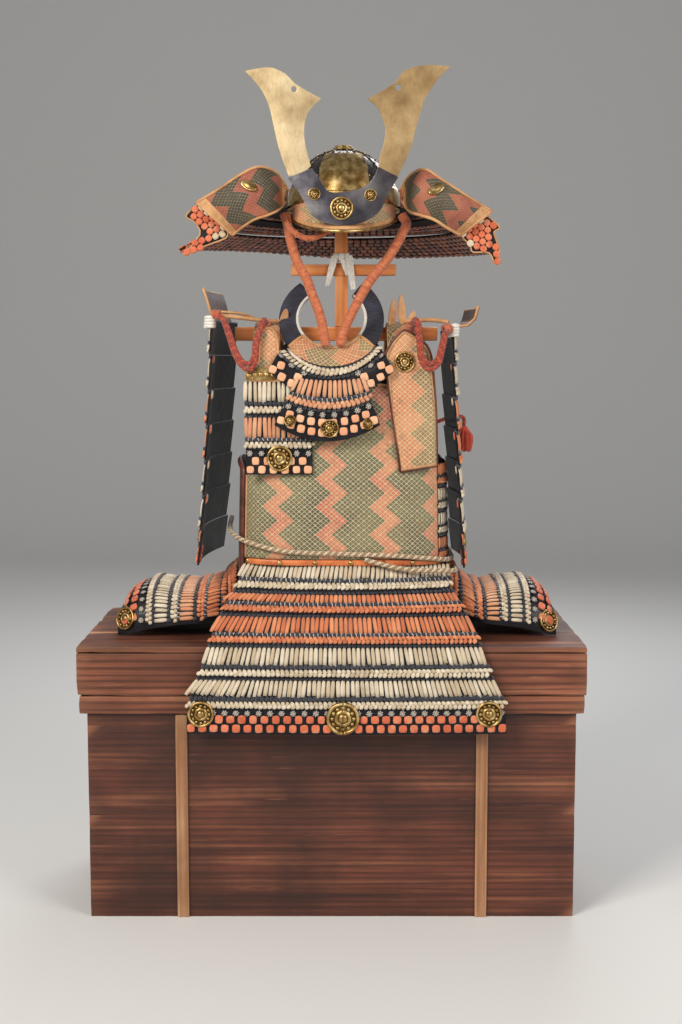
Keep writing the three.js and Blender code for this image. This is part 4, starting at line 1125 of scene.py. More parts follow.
def tie(lacing, surface, top, bottom, plan, slant=0.0, **more):
    """Lays a lame's plan of rows between its two edges."""
    high = top - bottom
    for kind, colour, a, b_, *flecks in plan:
        v, drop = top - high * a, high * (b_ - a)
        if kind == "lace":
            lacing.row("lace", colour, surface, v, drop, slant=slant, **more)
        elif kind == "picots":
            lacing.picots(colour, surface, v, drop, flecks[0] if flecks else 0, **more)
        elif kind == "plait":
            lacing.plait(colour, surface, v, drop, **more)
        elif kind == "flower":
            lacing.row("flower", "cream", surface, v, drop, pitch=19.6, trim=0.35, lift=0.4, **more)
    squares = [row for row in plan if row[0] == "square"]
    for k, (_, colour, a, b_) in enumerate(squares):
        lacing.row("square", colour, surface, top - high * a, high * (b_ - a), pitch=19.6,
                   trim=0.4 + 0.5 * ((k + 1) % 2), lift=0.2, **more)


def slack(share, lean):
    """Braids that have slipped: they lean over near one end of the row."""
    return lambda u: lean * max(0, 1 - u / share) ** 0.5 if u < share else 0


SLACK = [slack(0.12, -0.15), slack(0.34, -0.45), slack(0.22, -0.18), 0.0, slack(0.4, -0.3)]
front_lacing = Lacing("skirt_front_lacing")
for k, (lace, bottom) in enumerate(LAMES[:4]):
    surface = lame_surface(lace, bottom)
    wide = (surface(1, bottom) - surface(0, bottom)).length
    board(f"skirt_front_{k + 1}", surface, lace, bottom, [f"skirt_front_{k + 1}"], wide)
    tie(front_lacing, surface, lace, bottom, LAME_ROWS[k], SLACK[k], count=60)
SPLIT = 20.5
for side, ends in (("left", lambda l, r: (l, SPLIT - 0.5)), ("right", lambda l, r: (SPLIT + 0.5, r))):
    surface = lame_surface(*LAMES[4], ends)
    board("skirt_front_5_" + side, surface, *LAMES[4], ["skirt_front_5_" + side], 285)
    tie(front_lacing, surface, *LAMES[4], LAME_ROWS[4], SLACK[4] if side == "left" else 0.0, count=40)
front_lacing.finish(seed=31)


def boss_shape(name, radius, domes=12):
    """A gilt boss: a dished disc with a raised rim, a ring of small domes and a plain round middle."""
    r, back = radius, 4 if radius < 24 else radius / 3.75
    parts = [turned([(0, -back), (r, -back), (r, 0.8), (r * 0.97, 2.0), (r * 0.9, 2.3), (r * 0.84, 1.6),
                     (r * 0.82, 0.2), (r * 0.5, 0.2), (r * 0.48, 1.8), (r * 0.34, 2.4), (r * 0.32, 1.4), (r * 0.27, 1.4),
                     (r * 0.26, 3.2), (r * 0.18, 4.2), (0, 4.6)], 36)]
    for k in range(domes):
        t = 2 * math.pi * k / domes
        parts.append(turned([(0, -1), (r * 0.11, -1), (r * 0.11, 1.0), (r * 0.07, 2.1), (0, 2.5)], 8,
                            (r * 0.66 * math.cos(t), r * 0.66 * math.sin(t), 0.4)))
    return pattern(name, *parts)


BOSS = {r: boss_shape(f"boss_shape_{r}", r, 12 if r > 12 else 9) for r in (10, 11, 17, 19, 21, 22, 24, 30)}


def bosses(name, radius, spots, slot="gilt", lift=0.0):
    """Gilt bosses from places and the directions that they face."""
    places = []
    for at, face in spots:
        face = Vector(face).normalized()
        side = (face.cross(Vector((0, 0, 1)))).normalized() * -1
        places.append((Vector(at) + face * lift, face, side, 1.0, 0.0))
    return fasten(lay(name, places, BOSS[radius], gilt, uneven=0.0, seed=5), slot)


def on_front(x_mm, z):
    u = (x_mm - along(FALL, z, 3)) / (along(FALL, z, 4) - along(FALL, z, 3))
    return fall_point(u, z, 2.5)


bosses("skirt_bosses", 24, [(on_front(-238, 398), (0, -1, 0)), (on_front(286, 398), (0, -1, 0))], lift=4.0)
disc = lay("skirt_boss_middle", [(on_front(20.5, 392) - Vector((0, 6.4, 0)), Vector((0, -1, 0)), Vector((1, 0, 0)), 1.0, 0.0)],
           BOSS[30], gilt, uneven=0.0, seed=6)
bm = bmesh.new()
bm.from_mesh(disc.data)
for sign in (-1, 1):  # the middle boss is sawn through at the split
    where = bm.verts[:] + bm.edges[:] + bm.faces[:]
    bmesh.ops.bisect_plane(bm, geom=where, plane_co=((SPLIT + sign * 0.5) * MM, 0, 0), plane_no=(1, 0, 0))
inside = [f for f in bm.faces if abs(f.calc_center_median().x / MM - SPLIT) < 0.5]
bmesh.ops.delete(bm, geom=inside, context="FACES")
bmesh.ops.holes_fill(bm, edges=[e for e in bm.edges if e.is_boundary], sides=0)
bm.to_mesh(disc.data)
bm.free()
fasten(disc, "gilt")

# Back skirt: the same five lames, mirrored, with the lowest one whole.
back_lacing = Lacing("skirt_back_lacing")
for k, (lace, bottom) in enumerate(LAMES):
    surface = lame_surface(lace, bottom, mirror=True)
    wide = (surface(1, bottom) - surface(0, bottom)).length
    board(f"skirt_back_{k + 1}", surface, lace, bottom, ["skirt_back"], wide, 3)
    tie(back_lacing, surface, lace, bottom, LAME_ROWS[k], 0.0, count=60)
back_lacing.finish(seed=51)

# Side skirts: five laced lames each, which arch over the lid and rest on it with their ends. They narrow
# and curl down away from the waist, and a gilt boss stands on each front corner.
ARCH = {  # distance across, crown of the arch, front and back foot, height of the feet
    "left": [(-182.3, 650, -88, 112, 566), (-214, 616, -116, 130, 548), (-252, 605, -124, 136, 544),
             (-300, 605, -124, 136, 540), (-338, 611, -120, 132, 534), (-368, 602, -114, 126, 526),
             (-392, 586, -108, 120, 519.5), (-407, 562, -100, 112, 517.7)],
    "right": [(219.8, 659.4, -88, 112, 566), (258, 612, -116, 130, 548), (290, 602, -124, 136, 544),
              (322, 609, -124, 136, 540), (360, 614, -120, 132, 534), (390, 608, -114, 126, 526),
              (412, 590, -108, 120, 519.5), (426, 564, -100, 112, 517.7)],
}
ARCH_BANDS = [0, 0.11, 0.33, 0.55, 0.76, 0.9, 1]
ARCH_ROWS = [
    [("lace", "orange", 0.02, 0.5), ("plait", "orange", 0.5, 0.95)],
    [("picots", "navy", -0.04, 0.1, 0), ("lace", "orange", 0.1, 0.6), ("picots", "navy", 0.58, 0.7, 1),
     ("plait", "orange", 0.7, 0.97)],
    [("picots", "navy", -0.04, 0.1, 0), ("lace", "pale_orange", 0.1, 0.62), ("picots", "navy", 0.6, 0.72, 1),
     ("plait", "cream", 0.72, 0.97)],
    [("picots", "navy", -0.04, 0.1, 0), ("lace", "cream", 0.1, 0.6), ("picots", "navy", 0.6, 0.72, 0),
     ("plait", "cream", 0.74, 0.98)],
    [("flower", "cream", 0.24, 0.4), ("square", "orange", 0.72, 0.95)],
    [("square", "orange", 0.36, 0.6)],
]


def arch_surface(side, near, far, lip, thick_out=0.0):
    """A side skirt's outside between two distances from the waist, counted downwards as negative."""
    rows = ARCH[side]
    s, first = (-1 if side == "left" else 1), ARCH[side][0][0]

    def surface(u, v):
        u = 1 - u if side == "left" else u
        distance = -v
        x_ = first + s * distance
        table = [(abs(r[0] - first), *r[1:]) for r in rows]
        top, front_, back_, foot = (along(table, distance, c) for c in (1, 2, 3, 4))
        out = lip * (distance - near) / (far - near) + thick_out
        t = math.pi * (1 - u)
        c, h = math.cos(t), max(0.0, math.sin(t)) ** 0.72
        return Vector((x_ + s * out * 0.3, (front_ + back_) / 2 + ((back_ - front_) / 2 + out * 0.4)
                       * math.copysign(abs(c) ** 0.72, c), foot + (top - foot + out) * h))
    return surface


def boards_in(name, surface, top, bottom, node, count=48, rows_=4, thick=2.6, ridge=0.0, slot="laced_lames",
              paint=None):
    """A thin board over a surface whose height is counted in millimetres down it."""
    grid = [[surface(u, top + (bottom - top) * v) for u in spread(count)] for v in spread(rows_)]
    made = piece(name, *wall(grid, thick), paint or black_lacquer)
    return fasten(soften(made, 0.4, 2, 60), slot, *node)


for side, s in (("left", -1), ("right", 1)):
    reach = abs(ARCH[side][-1][0] - ARCH[side][0][0])
    lacing = Lacing(f"skirt_{side}_lacing")
    for k, plan in enumerate(ARCH_ROWS):
        near, far = ARCH_BANDS[k] * reach, ARCH_BANDS[k + 1] * reach
        surface = arch_surface(side, near, far, 2.4)
        under = arch_surface(side, near, far, 2.4, -0.4)
        boards_in(f"skirt_{side}_{k + 1}", under, -near, -far, ["skirt_" + side])
        tie(lacing, surface, -near, -far, plan, count=70, u0=0.03, u1=0.97)
    lacing.finish(seed=70 + s)
    x_boss = ARCH[side][-1][0] - s * 14
    probe = arch_surface(side, 0.9 * reach, reach, 2.4)(0.95 if side == "left" else 0.05, -(reach - 14))
    z_boss = 550 if side == "left" else 546
    bosses(f"skirt_{side}_boss", 22, [((x_boss, probe.y + 3, z_boss), (s * 0.7, -1, 0.3))])

# Sode: the two big shoulder guards, seven laced lames each, with a dark curved plate at the top and a
# gilt boss near the lower front corner. Their inner faces are bare lacquer with the ends of the lacing.
SODE = {
    "left": [(1112, -222, -116, 150), (1000, -226, -118, 146), (800, -238, -120, 150), (655, -250, -124, 152)],
    "right": [(1096, 224, -116, 150), (1000, 226, -118, 146), (800, 238, -120, 150), (650, 246, -124, 152)],
}
SODE_CAP = {
    "left": [(1110.8, -220.5), (1130, -227), (1149, -232), (1166, -238)],
    "right": [(1096.2, 221), (1097, 248), (1112, 265), (1134, 271)],
}
SODE_COLOURS = ["cream", "cream", "orange", "orange", "cream", "cream", "orange"]


def sode_surface(side, top, bottom, out_low=4.0, add=0.0):
    s, turn = (-1, 26) if side == "left" else (1, 2)

    def surface(u, z):
        u = 1 - u if side == "left" else u
        x_, front_, back_ = (along(SODE[side], z, c) for c in (1, 2, 3))
        out = out_low * (top - z) / (top - bottom) + add
        return Vector((x_ + s * (out + 12 * math.sin(math.pi * u)) - s * turn * u,
                       front_ + (back_ - front_) * u, z))
    return surface


for side, s in (("left", -1), ("right", 1)):
    top, bottom = SODE[side][0][0], SODE[side][-1][0]
    steps = [top + (bottom - top) * f for f in spread(7)]
    lacing = Lacing(f"sode_{side}_lacing")
    inner_ties = []
    for k in range(7):
        a, b_ = steps[k], steps[k + 1]
        surface, under = sode_surface(side, a, b_), sode_surface(side, a, b_, 4.0, -0.4)
        board(f"sode_{side}_{k + 1}", under, a, b_ if k == 6 else b_ + 0.3, ["sode_" + side], 266, 2.8)
        colour = SODE_COLOURS[k]
        plan = [("picots", "navy", -0.01, 0.1, 0), ("lace", colour, 0.1, 0.6),
                ("picots", "navy", 0.6, 0.71, k % 2), ("plait", colour, 0.72, 0.95)]
        if k == 6:
            plan = [("lace", colour, 0.02, 0.3), ("flower", "cream", 0.41, 0.5), ("square", "orange", 0.61, 0.7),
                    ("square", "orange", 0.84, 0.9)]
        tie(lacing, surface, a, b_, plan, count=40)
        inward = sode_surface(side, a, b_, 4.0, -3.4)
        flipped = (lambda f: (lambda u, z: f(1 - u, z)))(inward)
        for n, where in enumerate((0.035, 0.13)):
            u = (1 - where) if side == "right" else where
            for at_share in ((0.12,) if k < 6 else (0.6, 0.84)):
                z = a + (b_ - a) * at_share
                inner_ties.append((seats(flipped, [(u, z)], 0.0)[0], n, k))
    lacing.finish(seed=90 + s)
    for n, colour in ((0, "cream"), (1, "orange")):
        chosen = [place for place, m, k in inner_ties if (k % 2 == m) == (n == 0) or k == 6 and n == 1]
        paint = SILK["cream"] if n == 0 else KNOTS["orange"]
        fasten(lay(f"sode_{side}_ties_{colour}", chosen, PATTERNS["square"], paint, uneven=0.15, seed=8), "laced_lames")
    boss_at = sode_surface(side, steps[6], steps[7])(0.88 if side == "left" else 0.12, bottom + 42)
    bosses(f"sode_{side}_boss", 22, [(boss_at + Vector((s * 1.5, 0, 0)), (s, -0.12, 0))])

    turn = 26 if side == "left" else 2
    cap = [[Vector((along(SODE_CAP[side], z, 1) + s * 12 * math.sin(math.pi * u) - s * (turn / 2) * u,
                    -116 + 266 * u, z + 2)) for u in (spread(24, 1, 0) if side == "left" else spread(24))]
           for z in spread(10, SODE_CAP[side][-1][0], SODE_CAP[side][0][0])]
    plate = piece("sode_top_" + side, *wall(cap, 3), brown_leather)
    fasten(soften(plate, 0.8), "lacquer", "sode_top_" + side)
    lips = [tube([p + Vector((-s * 1.2, 0, 0.4)) for p in cap[0]], 2.4, 8)[:2]]
    front_line = [row[0] if side == "right" else row[-1] for row in cap]
    lips.append(tube([p + Vector((-s * 1.2, -0.6, 0)) for p in front_line], 2.4, 8)[:2])
    fasten(piece(f"sode_top_rim_{side}", *together(*lips), tan_leather), "plain_leather")

# Breast plates in front of the arm openings. At the left a lacquered panel of laced lames under a
# rounded leather-faced top with a gilt fitting, at the right one tall leather-faced plate with a boss.
SENDAN = dict(left=-158, right=-36, y=-149.4)
SENDAN_LAMES = [  # top, bottom, and what is laced between
    (999, 936, [("lace", "cream", 0.0, 0.6), ("picots", "navy", 0.58, 0.72, 0), ("plait", "cream", 0.74, 0.94)]),
    (935, 872, [("picots", "navy", -0.02, 0.04, 0), ("lace", "pale_orange", 0.0, 0.63),
                ("picots", "navy", 0.62, 0.73, 1), ("plait", "cream", 0.76, 0.94)]),
    (871, 828, [("flower", "cream", 0.1, 0.26), ("square", "pale_orange", 0.42, 0.6), ("square", "pale_orange", 0.79, 0.9)]),
]


def sendan_surface(a, b_, out=0.0):
    def surface(u, z):
        lean = 2.4 * (a - z) / (a - b_)
        return Vector((SENDAN["left"] + (SENDAN["right"] - SENDAN["left"]) * u, SENDAN["y"] - lean - out, z))
    return surface


lacing = Lacing("sendan_lacing")
for k, (a, b_, plan) in enumerate(SENDAN_LAMES):
    board(f"sendan_{k + 1}", sendan_surface(a, b_, -0.4), a, b_, ["sendan_panel"], 122, 3.4)
    tie(lacing, sendan_surface(a, b_), a, b_, plan, count=12)
lacing.finish(seed=111)
cloth_back = boards("sendan_backing", [(-150, -44, -145.6, -143.8, 832, 997)], black_lacquer, 0.3)
fasten(cloth_back, "laced_lames")
bosses("sendan_boss", 24, [((-96, -151.6, 858), (0, -1, 0))], lift=3.4)


def cut_plate(name, outline, y, thick, paint, puff=0.0, holes=(), uv=lambda p: (p[0], p[1]), inset=3.0):
    """A plate cut to an outline of x, z pairs, its face swelling softly towards the middle."""
    bm = bmesh.new()
    ring = [bm.verts.new((px_ * MM, y * MM, pz * MM)) for px_, pz in outline]
    loops = [ring]
    for hx, hz, r in holes:
        loops.append([bm.verts.new(((hx + r * math.cos(t)) * MM, y * MM, (hz + r * math.sin(t)) * MM))
                      for t in (2 * math.pi * k / 16 for k in range(16))])
    edges = [bm.edges.new((loop[k], loop[(k + 1) % len(loop)])) for loop in loops for k in range(len(loop))]
    bmesh.ops.triangle_fill(bm, use_beauty=True, use_dissolve=False, edges=edges, normal=(0, -1, 0))
    bmesh.ops.subdivide_edges(bm, edges=[e for e in bm.edges if e.calc_length() > 9 * MM], cuts=2,
                              use_grid_fill=True)
    bmesh.ops.triangulate(bm, faces=bm.faces)
    bmesh.ops.recalc_face_normals(bm, faces=bm.faces)
    if sum(f.normal.y for f in bm.faces) > 0:
        bmesh.ops.reverse_faces(bm, faces=bm.faces)
    border = {v for e in bm.edges if e.is_boundary for v in e.verts}
    rims = [v.co.copy() for v in border]
    for v in bm.verts:
        gap = min((v.co - r).length for r in rims) / MM if v not in border else 0
        v.co.y -= puff * (1 - math.exp(-gap / 14)) * MM
    front_ = bm.faces[:]
    made = bmesh.ops.extrude_face_region(bm, geom=front_)
    back_ = [g for g in made["geom"] if isinstance(g, bmesh.types.BMVert)]
    for v in back_:
        v.co.y = (y + thick) * MM
    bmesh.ops.recalc_face_normals(bm, faces=bm.faces)
    mesh = bpy.data.meshes.new(name)
    layer = bm.loops.layers.uv.new("UVMap")
    for f in bm.faces:
        for loop in f.loops:
            loop[layer].uv = uv((loop.vert.co.x / MM, loop.vert.co.z / MM))
    bm.to_mesh(mesh)
    bm.free()
    mesh.polygons.foreach_set("use_smooth", [True] * len(mesh.polygons))
    mesh.materials.append(paint.mat)
    obj = bpy.data.objects.new(name, mesh)
    scene.collection.objects.link(obj)
    return soften(obj, 0.5, 2, 50)


def rounded(points, steps_=4, sharp=()):
    """An outline with its corners drawn round, apart from those that stay sharp."""
    count, made = len(points), []
    for k in range(count):
        if k in sharp:
            made.append(points[k])
            continue
        p, q, r = (Vector(points[(k + n) % count]).to_3d() for n in (-1, 0, 1))
        a, b_ = q + (p - q) * 0.3, q + (r - q) * 0.3
        for t in spread(steps_):
            w = a * (1 - t) ** 2 + q * 2 * t * (1 - t) + b_ * t ** 2
            made.append((w.x, w.y))
    return made


SENDAN_TOP = [(-158, 1000), (-36, 1000), (-40, 1012), (-96, 1018), (-100, 1082), (-110, 1096), (-122, 1096),
              (-132, 1082), (-133, 1034), (-146, 1030), (-156, 1016)]
KYUBI = [(127, 832), (195, 843), (192, 950), (184, 1040), (176, 1064), (152, 1084), (132, 1094), (112, 1074),
         (96, 1046), (108, 960)]
plate_print = print_on("plate_print", (9.6, 8.6), (0, 0), 12, 6, ("c4734c", "cf8c60", "74432c"),
                       ("8a7350", "9c845a", "4a3c29"), "e4c99c", worn="7a5c40", width=0.1)
fasten(cut_plate("sendan_top", rounded(SENDAN_TOP), -148.7, 3, plate_print, 1.2), "printed_leather", "sendan_top")
outline = [Vector((x_, -149.2, z_)) for x_, z_ in rounded(SENDAN_TOP)]
fasten(piece("sendan_top_edge", *tube(outline + outline[:1], 2.2, 8)[:2], tan_leather), "plain_leather")
fitting = [[Vector((-157 + 54 * u, -151.2 - 2.2 * math.sin(math.pi * u) - 1.2 * math.sin(math.pi * v), 1001 + 19 * v
                    + 5 * math.sin(math.pi * u) * v)) for u in spread(16)] for v in spread(8, 1, 0)]
fasten(soften(piece("sendan_fitting", *wall(fitting, 1.6), gilt), 0.5), "gilt")
beads = [(Vector((-152 + 11 * k, -153.4 - 1.6 * math.sin(math.pi * k / 4), 1010 + 2 * math.sin(math.pi * k / 4))),
          Vector((0, -1, 0)), Vector((1, 0, 0)), 1.0, 0.0) for k in range(5)]
fasten(lay("sendan_fitting_studs", beads, RIVET, gilt, seed=12), "gilt")

kyubi = cut_plate("kyubi_plate", rounded(KYUBI, 4, (0, 1)), -144, 3, plate_print, 1.4)
fasten(kyubi, "printed_leather", "kyubi_plate")
outline = [Vector((x_, -144.6, z_)) for x_, z_ in rounded(KYUBI, 4, (0, 1))]
middle = sum(outline, Vector()) / len(outline)
inset_line = [p + (middle - p).normalized() * 6 + Vector((0, -1.0, 0)) for p in outline]
border = [ribbon([(p + q) / 2 for p, q in zip(outline + outline[:1], inset_line + inset_line[:1])],
                 [(p - q) / 2 for p, q in zip(outline + outline[:1], inset_line + inset_line[:1])], 1.4)]
fasten(piece("kyubi_border", *together(*border), tan_leather), "plain_leather")
fasten(piece("kyubi_edge", *tube(outline + outline[:1], 2.4, 8)[:2], brown_leather), "plain_leather")
bosses("kyubi_boss", 19, [((134, -146.8, 1035), (0, -1, 0))])

# Throat guard: a tilted collar of navy cloth over small plates, edged with white cord and lined red, a
# stencilled leather plate on its front, and two laced lames that hang over the breast.
COLLAR = dict(x=-1, y=-40, rise=0.8, inner=(64, 70), outer=(100, 112))


def collar_point(deg, f, lift):
    a, b_ = (COLLAR["inner"][k] + (COLLAR["outer"][k] - COLLAR["inner"][k]) * f for k in (0, 1))
    y_ = COLLAR["y"] + b_ * math.sin(math.radians(deg))
    return Vector((COLLAR["x"] + a * math.cos(math.radians(deg)), y_ - lift * 0.62,
                   1060 + COLLAR["rise"] * (y_ + 110) - 6 * (f - 0.5) ** 2 + lift * 0.78))


navy_cloth = Paint("navy_cloth", 0.7, sheen=0.25)
cloth = navy_cloth.noise(navy_cloth.at(), 700, 2)
fade = navy_cloth.noise(navy_cloth.at(), 30, 4)
navy_cloth.colour(navy_cloth.mix(navy_cloth.step(fade, 0.45, 0.7), "191b2a", "2e3145"))
navy_cloth.bump(cloth, 0.2, 0.6)
cells = navy_cloth.node("TexVoronoi", navy_cloth.at(), feature="DISTANCE_TO_EDGE")
cells.inputs["Scale"].default_value = 62
navy_cloth.bump(navy_cloth.step(cells.outputs["Distance"], 0.0, 0.12), 0.8, 0.6)


def collar_piece(name, low_deg, high_deg, f0, f1, top_lift, thick, paint, uv=None):
    grid = [[collar_point(d, f, top_lift + 0.6 * math.sin(math.pi * (f - f0) / (f1 - f0)))
             for d in spread(60, low_deg, high_deg)] for f in spread(10, f0, f1)]
    if uv:
        return skin(name, grid, thick, paint, uv)
    return piece(name, *wall(grid, thick), paint)


fasten(soften(collar_piece("throat_collar", -232, 52, 0, 1, 3.6, 7.4, navy_cloth), 1.2, 3), "navy_cloth",
       "throat_collar")
plate = collar_piece("throat_plate", -142, -38, 0.08, 1.06, 6.4, 2.0, plate_print,
                     lambda r, c: (c * 2.9, r * 4.3))
fasten(soften(plate, 0.5), "printed_leather", "throat_plate")
edge_white = [collar_point(d, 0.02, 4.0) for d in spread(80, -231, 51)]
fasten(piece("collar_edging", *tube(edge_white, 2.9, 10)[:2], tape_cotton), "white_tape")
plate_rims = ([collar_point(d, 0.11, 7.6) for d in spread(30, -141, -39)],
              [collar_point(-141, f, 7.4) for f in spread(10, 0.1, 1.05)],
              [collar_point(-39, f, 7.4) for f in spread(10, 0.1, 1.05)])
fasten(piece("throat_plate_rims", *together(*[tube(line, 3.0, 8, 0.6)[:2] for line in plate_rims]), tan_leather),
       "plain_leather")
red_lining = Paint("red_lining", 0.75, sheen=0.3)
red = red_lining.noise(red_lining.at(), 60, 4)
red_lining.colour(red_lining.ramp(red, (0.35, "7c2420"), (0.65, "a93a30")))
red_lining.bump(red_lining.noise(red_lining.at(), 800, 2), 0.2, 0.6)
lining = [[collar_point(d, f, -4.4) for d in spread(50, 50, -230)] for f in (0.04, 0.5, 0.96)]
lining_piece = piece("collar_lining", *wall([row[::-1] for row in lining][::-1], 1.0), red_lining)
fasten(lining_piece, "plain_leather")


def strip_surface(top, bottom, out=0.0):
    """A strip between two curved rows: height, ends, drop of the middle, and how far forward it stands."""
    def surface(u, v):
        t = (top["z"] - v) / (top["z"] - bottom["z"])
        left, right, drop, y_ = (top[k] + (bottom[k] - top[k]) * t for k in ("left", "right", "drop", "y"))
        m = 2 * u - 1
        return Vector((left + (right - left) * u, y_ + 3 * m * m - out, v - drop * (1 - m * m)))
    return surface


def edge_row(z, left, right, drop, y):
    return dict(z=z, left=left, right=right, drop=drop, y=y)


def under_collar(low_deg, high_deg, out=0.0):
    """A curved strip that hangs from the collar's edge, its ends spread and laid over the breast plates."""
    def surface(u, v):
        d = math.radians(low_deg + (high_deg - low_deg) * u)
        lean, away = 0.06 + 0.6 * abs(math.cos(d)), Vector((math.cos(d), math.sin(d), 0))
        p = collar_point(math.degrees(d), 1.0, 1.5)
        p += away * lean * -v + Vector((0, 0, v * math.sqrt(1 - lean * lean)))
        p.y += min(0, -158.5 - p.y) * min(1, max(0, -v / 28))
        return p + away * out
    return surface


THROAT_EDGE = [("picots", "navy", 0.0, 0.1, 0), ("plait", "cream", 0.1, 0.42), ("picots", "navy", 0.42, 0.52, 0)]
THROAT_ENDS = [("flower", "cream", 0.53, 0.62), ("square", "pale_orange", 0.79, 0.9),
               ("square", "pale_orange", 1.17, 1.3)]
LOWER = edge_row(1004, -62, 57, 5, -165), edge_row(940, -94, 80, 24, -165.5)
LOWEST = edge_row(950, -92, 78, 22, -169), edge_row(920, -105, 89, 30, -169)
LOWER_ROWS = [("lace", "pale_orange", -0.03, 0.36), ("picots", "navy", 0.36, 0.45, 1),
              ("plait", "pale_orange", 0.455, 0.62), ("picots", "navy", 0.62, 0.67, 0),
              ("flower", "cream", 0.735, 0.8)]
LOWEST_ROWS = [("square", "pale_orange", 0.1, 0.2), ("square", "pale_orange", 0.58, 0.7)]
lacing = Lacing("throat_lacing")
upper, bare = under_collar(-149, -31), under_collar(-149, -31, -0.8)
grid = [[bare(u, -v) for u in spread(60)] for v in spread(8, 0, 62)]
fasten(soften(piece("throat_lame_1", *wall(grid, 3.4), black_lacquer), 0.6), "laced_lames", "throat_lame_1")
tie(lacing, under_collar(-143, -37), 0, -45, THROAT_EDGE, count=50)
for u0, u1 in ((0.0, 0.3), (0.7, 1.0)):
    tie(lacing, upper, 0, -45, THROAT_ENDS, count=20, u0=u0, u1=u1)
for n, (edges, thick, plan) in enumerate(((LOWER, 3.4, LOWER_ROWS), (LOWEST, 6.5, LOWEST_ROWS))):
    bare = strip_surface(*edges, -0.6)
    grid = [[bare(u, z) for u in spread(48)] for z in spread(5, edges[0]["z"], edges[1]["z"])]
    fasten(soften(piece(f"throat_lame_2_{n}", *wall(grid, thick), black_lacquer), 0.6), "laced_lames",
           "throat_lame_2")
    tie(lacing, strip_surface(*edges), edges[0]["z"], edges[1]["z"], plan, count=30)
lacing.finish(seed=131)
bosses("throat_boss_17", 17, [((-4, -172.5, 914), (0, -1, 0))])
bosses("throat_boss_11", 11, [((-76, -171.5, 928), (0, -1, 0))])
bosses("throat_boss_10", 10, [((66, -171.5, 922), (0, -1, 0))])

# Helmet: a bowl of eighteen lacquered iron plates with raised, riveted ribs, a gilt front plate, a gilt
# ring round the hole in its crown, and a leather-faced brim with a tan edge.
BOWL = dict(x=22, y=0, radius=105, rim=1328, height=106, hole=14, plates=18, thick=2.5)
dark_steel = Paint("dark_steel", 0.28, metal=0.85, coat=0.2)
scuffs = dark_steel.noise(dark_steel.at(), 55, 5, 0.65)
dark_steel.colour(dark_steel.ramp(scuffs, (0.3, "2a2624"), (0.55, "4c4641"), (0.78, "7a6f60")))
dark_steel.rough(scuffs, 0.18, 0.5)
dark_steel.bump(scuffs, 0.3, 0.4)


def dome(r, grow=0.0):
    """Height of the bowl's outside at a distance from its axis."""
    return BOWL["rim"] + (BOWL["height"] + grow) * math.sqrt(max(0, 1 - (r / (BOWL["radius"] + grow)) ** 2))


def bowl_point(a, f, grow=0.0):
    base_ = (BOWL["radius"] + grow) * f
    return Vector((BOWL["x"] + base_ * math.cos(a), BOWL["y"] + base_ * math.sin(a) * 1.08,
                   BOWL["rim"] if f >= 1 else dome(base_, grow)))


around = 8 * BOWL["plates"]
shares = [0.134, 0.2, 0.3, 0.4, 0.5, 0.6, 0.7, 0.78, 0.86, 0.92, 0.96, 0.985, 1.0]
grid = []
for f in shares:
    row = []
    for k in range(around):
        a = 2 * math.pi * k / around
        rib = max(0.0, math.cos(BOWL["plates"] * a)) ** 10
        row.append(bowl_point(a, f, 1.9 * rib * min(1, (1.02 - f) * 12 + 0.4)))
    grid.append(row)
bowl = piece("helmet_bowl", *wall(grid, BOWL["thick"], ring=True), dark_steel)
fasten(bowl, "dark_steel", "helmet_bowl")
ribs = []
for k in range(BOWL["plates"]):
    a = 2 * math.pi * k / BOWL["plates"]
    for f in (0.24, 0.36, 0.48, 0.6, 0.71, 0.81, 0.89):
        p, q = bowl_point(a, f, 2.0), bowl_point(a, f + 0.01, 2.0)
        side = Vector((-math.sin(a), math.cos(a), 0))
        ribs.append((p, side.cross(p - q).normalized(), side, 1.0, 0.0))
fasten(lay("bowl_rivets", ribs, STUD, gilt, uneven=0.1, seed=21), "gilt")

band = [[bowl_point(2 * math.pi * k / 96, f, 2.6) for k in range(96)] for f in (0.95, 0.965, 0.985, 0.999)]
band.append([p - Vector((0, 0, 14)) for p in band[-1]])
fasten(piece("bowl_band", *wall(band, 1.4, ring=True), gilt), "gilt")

top = BOWL["rim"] + BOWL["height"]
stack = [(22, -0.4), (23.5, 0.8), (22.5, 2.0), (19.5, 2.4), (20.5, 3.6), (18.5, 4.8), (16, 5.2), (17, 6.4), (15.5, 8.2),
         (13.2, 8.6), (12.2, 7.0), (12.5, 0)]
grid = [[Vector((BOWL["x"] + r * (1 + (0.03 if k % 2 and n < 3 else 0)) * math.cos(2 * math.pi * k / 48),
                 r * (1 + (0.03 if k % 2 and n < 3 else 0)) * math.sin(2 * math.pi * k / 48), top + z))
         for k in range(48)] for n, (r, z) in enumerate(stack[::-1])]
verts = [p for row in grid for p in row]
faces = [(r * 48 + k, r * 48 + (k + 1) % 48, ((r + 1) % len(stack)) * 48 + (k + 1) % 48,
          ((r + 1) % len(stack)) * 48 + k) for r in range(len(stack)) for k in range(48)]
fasten(piece("helmet_ring", verts, faces, gilt), "gilt", "helmet_ring")

grid = []
for v in spread(14, 1, 0):
    f = 0.985 - 0.46 * v
    row = []
    for u in spread(28):
        a = math.radians(-90 + (u - 0.5) * 52 * (1 + 0.35 * v))
        lines = 0.5 * max(0, math.cos(2 * math.pi * 6 * (u - 0.5))) ** 6 * (v > 0.34)
        row.append(bowl_point(a, f, 4.3 + lines + (0.6 if 0.22 < v < 0.34 else 0)))
    grid.append(row)
front_plate = piece("helmet_front_plate", *wall(grid, 1.6), gilt)
fasten(soften(front_plate, 0.4), "gilt", "helmet_front_plate")


